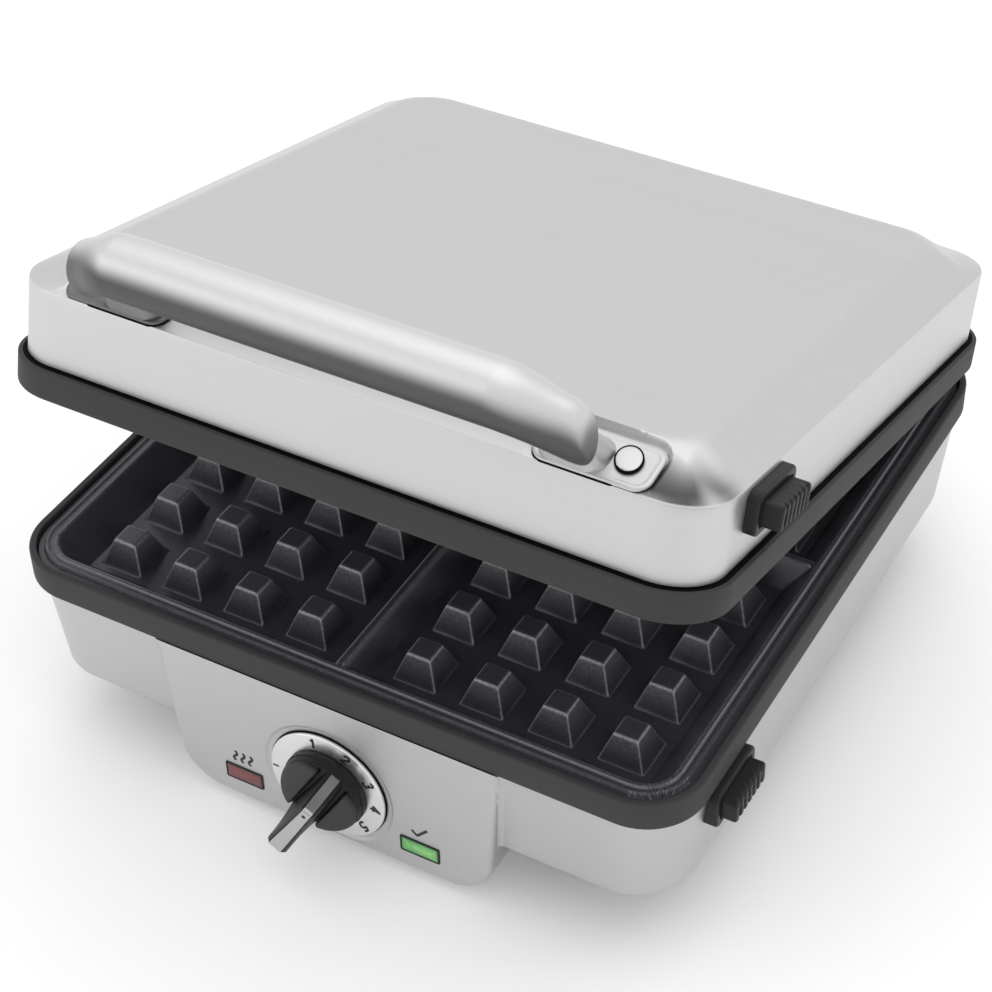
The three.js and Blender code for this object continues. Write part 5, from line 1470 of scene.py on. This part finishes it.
@dataclass
class Indicator:
    """Lens in a thin black frame, with a small pictogram printed above it."""

    name: str
    side: int
    finish: Palette
    x: float = 41.0
    z: float = -60.0
    width: float = 16.4
    height: float = 7.0
    proud: float = 0.5

    def window(self, out: float, radius: float, steps: int) -> Array:
        """The lens's outline moved outwards."""
        half_x, half_z = self.width / 2 + out, self.height / 2 + out
        return rectangle(self.side * self.x, self.z, half_x, half_z, radius, steps).points

    def build(self) -> None:
        """Builds the frame, the lens and the print."""
        surround, lens = Surface(), Surface()
        low, front = CONSOLE_FACE - 6, CONSOLE_FACE + self.proud
        rim, node = front - 0.2, f"{self.name}_lens"
        rows = [(0.75, low), (0.75, rim), (0.6, front), (0.2, front), (0.05, rim), (0.05, low)]
        loops = [(self.window(out, 0.4 + out / 2, 5), depth) for out, depth in rows]
        surround.ring(Facing.FRONT.place(stacked(loops)))
        Piece(f"{node}_bezel", Palette.BLACK_PLASTIC, Body.BASE, f"{node}_frame").make(surround)
        rows = [(0.0, CONSOLE_FACE - 1.5, 0.0), (0.0, front - 0.4, 0.0), (0.15, front - 0.15, 0.0)]
        rows += [(0.15 + (self.height / 2 - 0.2) * t, front - 0.1, t) for t in np.linspace(0, 1, 9)[1:]]
        loops = [(self.window(-cut, max(0.5 - cut / 2, 0.02), 4), depth) for cut, depth, _ in rows]
        # Shade rises from rim to middle: the lamp's glow on the lit green lens, a painted lighter middle on the
        # unlit red one.
        lens.tube(Facing.FRONT.place(stacked(loops)), np.sqrt([[share] for _, _, share in rows]))
        Piece(f"{node}_insert", self.finish, Body.BASE, node).make(lens)
        self.symbol()

    def symbol(self) -> None:
        """Prints three rising heat waves over the red lens and a check mark over the green one."""
        surface = Surface()
        x, level = self.side * self.x, self.z + self.height / 2 + 6.2
        t = np.linspace(-1, 1, 25)
        wave = np.column_stack([x + 0.85 * np.sin(t * math.pi), level + 2.8 * t])
        lines = [wave + [shift, 0] for shift in (-3.6, 0, 3.6)]
        if self.side > 0:
            corners = [(x - 3.3, level), (x - 1.0, level - 2.4), (x + 3.7, level + 2.8)]
            lines = [fillet_path(corners, [0, 0.5, 0], 6)]
        for line in lines:
            printed_stroke(surface, line, 0.62, CONSOLE_FACE)
        Piece(f"{self.name}_symbol", Palette.INK, Body.BASE).make(surface)


@dataclass
class Knob:
    """Control knob: a stepped skirt, two raised pads, a grip bar with a bright inlay, and the pointer's dot.

    Its pieces are drawn in u, v and height, with v along the bar to its pointing end.
    """

    back: float = 151.9
    pointer: float = 31.0
    skirt_radius: float = 18.2
    cheek_radius: float = 17.8
    cheek_line: float = 5.9
    cheek_fall: float = 0.16
    bar_half: float = 17.2
    bar_foot: float = 1.5
    crest: float = 25.4
    tail: float = 1.8
    inlay_half: float = 2.55

    def widening(self, along: Array, share: float) -> Array:
        """Width factor of the grip bar, which grows towards the crest's tail."""
        return 1 - 0.22 * share * along / self.bar_half

    def placed(self, points: Array) -> Array:
        """Turns points to the pointer's rest angle and puts them on the console."""
        turned = on_dial(points, self.pointer)
        return np.stack([turned[..., 0], -self.back - points[..., 2], turned[..., 1]], axis=-1)

    def cheek(self, surface: Surface, side: int, rows: Sequence[Row]) -> None:
        """Adds a layer of the raised part beside the grip bar, through rows of inset and height.

        Its outline is a circle cut by a line along the bar, with round corners. Its top falls away from the
        bar.
        """
        radius, edge = self.cheek_radius, self.cheek_line
        reach = math.sqrt(radius**2 - edge**2)
        end = math.atan2(reach, edge)
        angles = np.linspace(-end, end, 40)
        rim = radius * np.column_stack([np.cos(angles), np.sin(angles)])
        bend = fillet_path([rim[-7], (edge, reach), (edge, 0)], [0, 3.4, 0], 8)[1:-1]
        outline = Outline(np.concatenate([rim[6:-6], bend, (bend * [1, -1])[::-1]]))
        loops = stacked([(outline.inset(inset), height) for inset, height in rows])
        loops[..., 2] -= self.cheek_fall * (loops[..., 0] - edge) * smoothstep(2.0, 6.6, loops[..., 2])
        loops[..., 0] *= side
        middle = np.array([side * 11.0, 0.0, rows[-1][1] - self.cheek_fall * (11.0 - edge)])
        share = np.array([0.35, 0.7, 0.98])[:, None, None]
        surface.tube(self.placed(np.concatenate([loops, loops[-1] * (1 - share) + middle * share])))

    def bar(self, surface: Surface) -> None:
        """Adds the grip bar: rounded rectangles with scooped sides and a tail that grows upwards."""
        loops = []
        for t in np.linspace(0, 1, 22):
            soft = max(0.0, (t - 0.94) / 0.06)
            half, reach = 4.9 - 1.1 * t - 0.7 * soft**2, self.bar_half - 0.5 * t - 0.7 * soft**2
            u, v = rectangle(0, 0, half, reach, 2.0 - 0.4 * soft, 6).points.T
            scoop = 0.5 * math.sin(math.pi * min(1.0, max(0.0, (t - 0.12) / 0.8))) ** 0.8
            u = u - np.sign(u) * scoop * (1 - (v / (reach + 2)) ** 6) * (np.abs(u) > 1)
            u = u * (self.widening(v, t) + 0.32 * smoothstep(5.0, 13.0, -v) * (1 - t))
            v = v - self.tail * t * smoothstep(4.0, 16.0, -v)
            loops.append((np.column_stack([u, v]), self.bar_foot + (self.crest - self.bar_foot) * t))
        surface.tube(self.placed(stacked(loops)))

    def inlay(self) -> None:
        """Builds the bright strip over the bar's crest and tip."""
        end, top, half = self.bar_half, self.crest, self.inlay_half
        corners = [(end + 0.12, 4.5), (end - 0.35, top + 0.12), (1.2 - end, top + 0.12)]
        line = fillet_path(corners, [0, 1.6, 0], 8)
        corners = [(end - 0.9, 4.5), (end - 1.3, top - 0.9), (1.2 - end, top - 0.9)]
        inner = fillet_path(corners, [0, 0.8, 0], 8)
        rows, flat = [], half - 0.25
        for u, depth in ((-half, 1), (-half, 0.2), (-flat, 0), (flat, 0), (half, 0.2), (half, 1)):
            v, height = (line + (inner - line) * depth).T
            share = height / top
            width = self.widening(v, share) * (0.8 + 0.2 * share)
            tail = self.tail * share * smoothstep(4.0, 16.0, -v)
            rows.append(np.column_stack([u * width, v - tail, height]))
        points = np.array(rows)
        surface = Surface()
        # Painted shade: the strip's end face, below the crest, is darker than its top.
        surface.strip(self.placed(points), np.where(points[..., 2] < top - 1.6, 0.6, 0.0))
        Piece("knob_inlay_strip", Palette.INLAY_SILVER, Body.KNOB, "knob_inlay", 30).make(surface)

    def build(self) -> None:
        """Builds body, pads, inlay and the pointer's dot."""
        body, pads, dot = Surface(), Surface(), Surface()
        radius = self.skirt_radius
        corners = [(radius, 0), (radius, 2.2), (17.7, 2.2), (17.5, 5.6), (0.2, 5.6)]
        rows = [(radius - r, height) for r, height in fillet_path(corners, [0, 0.4, 0.2, 0.5, 0], 5)]
        body.tube(self.placed(circle(radius, 0, 0, 96).loops(rows, Facing.UP)))
        for side in SIDES.values():
            self.cheek(body, side, [(0.0, 2.0), (0.2, 5.4), (0.4, 6.9), (1.2, 7.1)])
            self.cheek(pads, side, [(0.5, 6.6), *rounded_edge(1.1, 8.7, 5, 0.55)])
        # The pads take the lighter copy of the knob's plastic: painted light on faces that catch the light.
        Piece("control_knob_pads", Palette.KNOB_PLASTIC, Body.KNOB, sharp_degrees=38).make(pads)
        self.bar(body)
        # The body takes the darker copy of the knob's plastic: painted shade.
        Piece("control_knob_body", Palette.KNOB_BLACK, Body.KNOB, "control_knob", 38).make(body)
        self.inlay()
        rows = [(0, self.crest + 0.08), (0, self.crest + 0.2)]
        dot.tube(self.placed(circle(0.85, 0, self.bar_half - 4.2, 24).loops(rows, Facing.UP)))
        Piece("knob_dot", Palette.INK, Body.KNOB).make(dot)


@dataclass
class ReleaseButton:
    """Ribbed button cap in a rounded escutcheon on the right side."""

    name: str
    body: Body
    home: Body
    y: float
    z: float
    wall: float
    half_length: float = 13.0
    half_height: float = 5.0
    ribs: int = 7
    outer: float = 158.6
    border: float = 3.6
    proud: float = 5.0
    play: float = 0.4

    def build(self) -> None:
        """Builds the cap and the escutcheon."""
        cap, plate = Surface(), Surface()
        length, height, outer = self.half_length, self.half_height, self.outer
        few, many = np.linspace(0, 1, 5)[1:-1], np.linspace(0, 1, 91)[1:-1]
        stations = Stations([few, many, few, many], [np.linspace(0, 1, 7)] * 4)
        rows = [(0.0, self.wall - 3.6), *rounded_edge(1.3, outer, 5)]
        rows += [(inset, outer) for inset in (2.0, 3.0, 4.0, 4.9)]
        loops = stacked([
            (rounded_loop(length - inset, height - inset, max(1.8 - inset, 0.05), stations), depth)
            for inset, depth in rows])
        phase = (loops[..., 0] + length) / (2 * length) * self.ribs
        ribbed = np.abs(loops[..., 0]) < length - 1.6
        valley = smoothstep(0.28, 0.1, np.abs(phase - np.round(phase))) * ribbed
        loops[..., 2] -= 0.9 * valley * np.clip((loops[..., 2] - outer + 3.0) / 1.6, 0, 1)
        cap.tube(Facing.RIGHT.place(loops + [self.y, self.z, 0.0]))
        node = f"{self.name}_release_button"
        Piece(f"{self.name}_button_cap", Palette.BLACK_PLASTIC, self.body, node, 30).make(cap)
        rim = rectangle(self.y, self.z, length + self.border, height + self.border, 4.0)
        hole = rectangle(self.y, self.z, length + self.play, height + self.play, 1.2)
        foot, front = (0.0, self.wall - 1.0), self.wall + self.proud
        rows = [(rim.inset(inset), depth) for inset, depth in [foot, *rounded_edge(1.1, front)]]
        rows += [(hole.inset(-inset), depth) for inset, depth in [*rounded_edge(0.4, front)[::-1], foot]]
        plate.ring(Facing.RIGHT.place(stacked(rows)))
        node = f"{self.name}_escutcheon"
        Piece(f"{node}_plate", Palette.BLACK_PLASTIC, self.home, node).make(plate)


# ---------------------------------------------------------------- hinges and gland
@dataclass
class Hinge:
    """Forked bracket on the base, arm on the lid and pin."""

    name: str
    x: float
    lug: float = 8.5
    arm: float = 7.6
    arm_half: float = 6.0
    cheek: float = 5.0
    gap: float = 0.4
    plate: float = 2.7
    drop: float = 24.0
    face: float = FRAME_HALF + 0.3
    pin_radius: float = 3.0
    head_radius: float = 4.5

    def lobe(self, radius: float, start: float, end: float, corners: Sequence[Row]) -> Outline:
        """Outline of an arc round the hinge axis closed through some corners."""
        return Outline(np.concatenate([arc(HINGE_Y, HINGE_Z, radius, start, end, 27), corners]))

    def bracket(self) -> None:
        """Builds the bracket: two cheeks on a web."""
        surface = Surface()
        face, back, low = self.face, self.face + self.plate, -self.drop
        corners = [(face + 0.2, 7.0), (face, 6.6), (face, low + 0.8), (face + 0.3, low), (back, low)]
        cheek = self.lobe(self.lug, -45, 90, corners)
        for side in SIDES.values():
            near = self.x + side * (self.arm_half + self.gap)
            surface.tube(cheek.loops(eased(near, near + side * self.cheek, 0.3, 0.7), Facing.RIGHT))
        web = rounded_outline([(back, low), (back, 7.0), (face, 7.0), (face, low)], [0.8, 0.8, 0.3, 0.3], 4)
        surface.tube(web.loops([(0, self.x - 7), (0, self.x + 7)], Facing.RIGHT))
        node = f"hinge_bracket_{self.name}"
        Piece(f"{node}_fork", Palette.FRAME_PLASTIC, Body.BASE, node).make(surface)

    def blade(self) -> None:
        """Builds the lid's arm: a blade on a pad."""
        surface = Surface()
        face, low, top = self.face, 1.6 + lid_offset(), 13.6 + lid_offset()
        corners = [(face + 3, top - 1), (face + 2, top), (face, top), (face, low)]
        blade = self.lobe(self.arm, 200, 395, corners)
        rows = eased(self.x - self.arm_half, self.x + self.arm_half, 0.7, 0.7)
        surface.tube(blade.loops(rows, Facing.RIGHT))
        pad = rectangle(self.x, (low + top) / 2, 11, (top - low) / 2, 1.5, 6)
        rows = [(inset, -depth) for inset, depth in eased(face, face + 3, 0, 0.7)]
        surface.tube(pad.loops(rows, Facing.FRONT))
        node = f"hinge_arm_{self.name}"
        Piece(f"{node}_blade", Palette.FRAME_PLASTIC, Body.LID, node).make(surface)

    def pin(self) -> None:
        """Builds the pin with its head on the right."""
        surface = Surface()
        half = self.arm_half + self.gap + self.cheek + 0.3
        shank, head = (circle(radius, HINGE_Y, HINGE_Z, 32) for radius in (self.pin_radius, self.head_radius))
        surface.tube(shank.loops(eased(self.x - half, self.x + half, 0.4, 0), Facing.RIGHT))
        surface.tube(head.loops(eased(self.x + half, self.x + half + 1.6, 0, 0.7), Facing.RIGHT))
        node = f"hinge_pin_{self.name}"
        Piece(f"{node}_rivet", Palette.SCREW_STEEL, Body.BASE, node).make(surface)

    def build(self) -> None:
        """Builds bracket, arm and pin."""
        self.bracket()
        self.blade()
        self.pin()


@dataclass
class CordGland:
    """Rubber gland with a bore in the rear wall."""

    x: float = -62.0
    z: float = -26.0
    bore: float = 3.6
    flange: float = 9.0
    wall: float = FRAME_HALF - 4.0

    def build(self) -> None:
        """Builds the gland as a turned ring."""
        inner, lip, outer, back = self.wall - 6, self.wall - 3.6, self.wall + 1.2, self.wall + 3.7
        profile = fillet_path(
            [(8.0, inner), (8.0, lip), (6.4, lip), (6.4, outer), (self.flange, outer), (self.flange, back),
             (self.bore, back), (self.bore, inner)], [0.3, 0.3, 0, 0, 0.3, 0.8, 0.5, 0.3], 4, True)
        surface = Surface()
        rows = [(self.flange - radius, depth) for radius, depth in profile]
        surface.ring(circle(self.flange, -self.x, self.z, 48).loops(rows, Facing.BACK))
        Piece("cord_gland_bush", Palette.FOOT_RUBBER, Body.BASE, "cord_gland").make(surface)


class HiddenNodes:
    """Carried-over CAD nodes inside the housing and the lid, in the finishes of their slots."""

    def build(self) -> None:
        """Gives each node that is still shown the first finish of its slot."""
        by_slot = {finish.slot: finish for finish in reversed(Palette)}
        slots = {part["node"]: part["material_slot"] for part in frame["record"]["subparts"]}
        for name, node in frame["nodes"].items():
            if node.hide_render:
                continue
            for place in node.material_slots:
                place.link = "OBJECT"
                place.material = by_slot[slots[name]].material
            LOG.info("%s keeps its CAD shape", name)


# ---------------------------------------------------------------- studio
@dataclass
class Studio:
    """Pale floor, soft lights and the camera."""

    azimuth: float = 30.57
    elevation: float = 41.04
    roll: float = 1.70
    target: Color = (-3.81, -8.52, -5.12)
    distance: float = 1013.86
    focal_pixels: float = 2414.44
    image: float = 992.0
    sensor: float = 36.0
    floor_half: float = 6.0

    def camera(self) -> None:
        """Places the camera that the photograph was taken with."""
        az, el, roll = (math.radians(v) for v in (self.azimuth, self.elevation, self.roll))
        back = np.array([math.sin(az) * math.cos(el), -math.cos(az) * math.cos(el), math.sin(el)])
        centre = np.array(self.target) + self.distance * back
        right = np.cross(-back, [0, 0, 1])
        right /= np.linalg.norm(right)
        down = np.cross(-back, right)
        x_axis = right * math.cos(roll) + down * math.sin(roll)
        y_axis = right * math.sin(roll) - down * math.cos(roll)
        data = bpy.data.cameras.new("camera")
        data.sensor_width = self.sensor
        data.sensor_fit = "HORIZONTAL"
        data.lens = self.focal_pixels / self.image * self.sensor
        data.clip_end = 20
        made = bpy.data.objects.new("camera", data)
        bpy.context.scene.collection.objects.link(made)
        turn = Matrix((x_axis, y_axis, back)).transposed().to_4x4()
        made.matrix_world = Matrix.Translation(Vector((centre + ORIGIN) * MM)) @ turn
        bpy.context.scene.camera = made

    def light(self, name: str, place: Color, aim: Color, size: Row, power: float) -> None:
        """Adds one rectangular soft light.

        Args:
            name: the light's name.
            place: where it stands, in metres.
            aim: what it points at.
            size: its width and height in metres.
            power: its power in watts.
        """
        data = bpy.data.lights.new(name, "AREA")
        data.shape = "RECTANGLE"
        data.size, data.size_y = size
        data.energy = power
        made = bpy.data.objects.new(name, data)
        turn = (Vector(aim) - Vector(place)).to_track_quat("-Z", "Y")
        made.matrix_world = Matrix.Translation(place) @ turn.to_matrix().to_4x4()
        bpy.context.scene.collection.objects.link(made)

    def build(self) -> None:
        """Builds floor, light and camera."""
        tree = NodeTree("floor")
        color = tree.tint(grey(0.9), grey(0.93), tree.noise(3.0))
        tree.set(Base_Color=color, Roughness=0.9, Emission_Color=grey(1.0), Emission_Strength=0.11)
        floor, half = bpy.data.meshes.new("floor"), self.floor_half
        corners = [(-half, -half, 0), (half, -half, 0), (half, half, 0), (-half, half, 0)]
        floor.from_pydata(corners, [], [(0, 1, 2, 3)])
        floor.materials.append(tree.material)
        made = bpy.data.objects.new("floor", floor)
        bpy.context.scene.collection.objects.link(made)
        world = bpy.data.worlds.new("studio")
        world.use_nodes = True
        sky = world.node_tree.nodes["Background"]
        sky.inputs["Color"].default_value = (1.0, 1.0, 1.0, 1.0)
        sky.inputs["Strength"].default_value = 0.93
        bpy.context.scene.world = world
        self.light("overhead", (0.1, 0.5, 1.7), (0.0, 0.0, 0.1), (2.4, 1.8), 9.0)
        self.light("front_left", (-1.3, -1.3, 0.9), (0.0, 0.0, 0.1), (1.4, 1.4), 4.0)
        self.camera()
        bpy.context.scene.view_settings.view_transform = "Standard"


def main() -> None:
    """Builds every sub-assembly and reports it."""
    logging.basicConfig(level=logging.INFO, format="%(name)s: %(message)s")
    LidCover().build()
    Handle().build()
    LidFrame().build()
    GridPlate().build("lower_plate", Body.BASE, BASE_FRAME_HEIGHT, -1)
    GridPlate().build("upper_plate", Body.LID, lid_offset(), 1)
    BaseFrame().build()
    Housing().build()
    Feet().build()
    Dial().build()
    Indicator("heating", -1, Palette.RED_LENS).build()
    Indicator("ready", 1, Palette.GREEN_LENS).build()
    Knob().build()
    ReleaseButton("lower", Body.LOWER_RELEASE, Body.BASE, -104.0, -10.95, 147.45).build()
    ReleaseButton("upper", Body.UPPER_RELEASE, Body.LID, -100.0, 33.0 + lid_offset(), 146.0).build()
    Hinge("left", -95.0).build()
    Hinge("right", 95.0).build()
    CordGland().build()
    HiddenNodes().build()
    Studio().build()


if __name__ == "__main__":
    main()
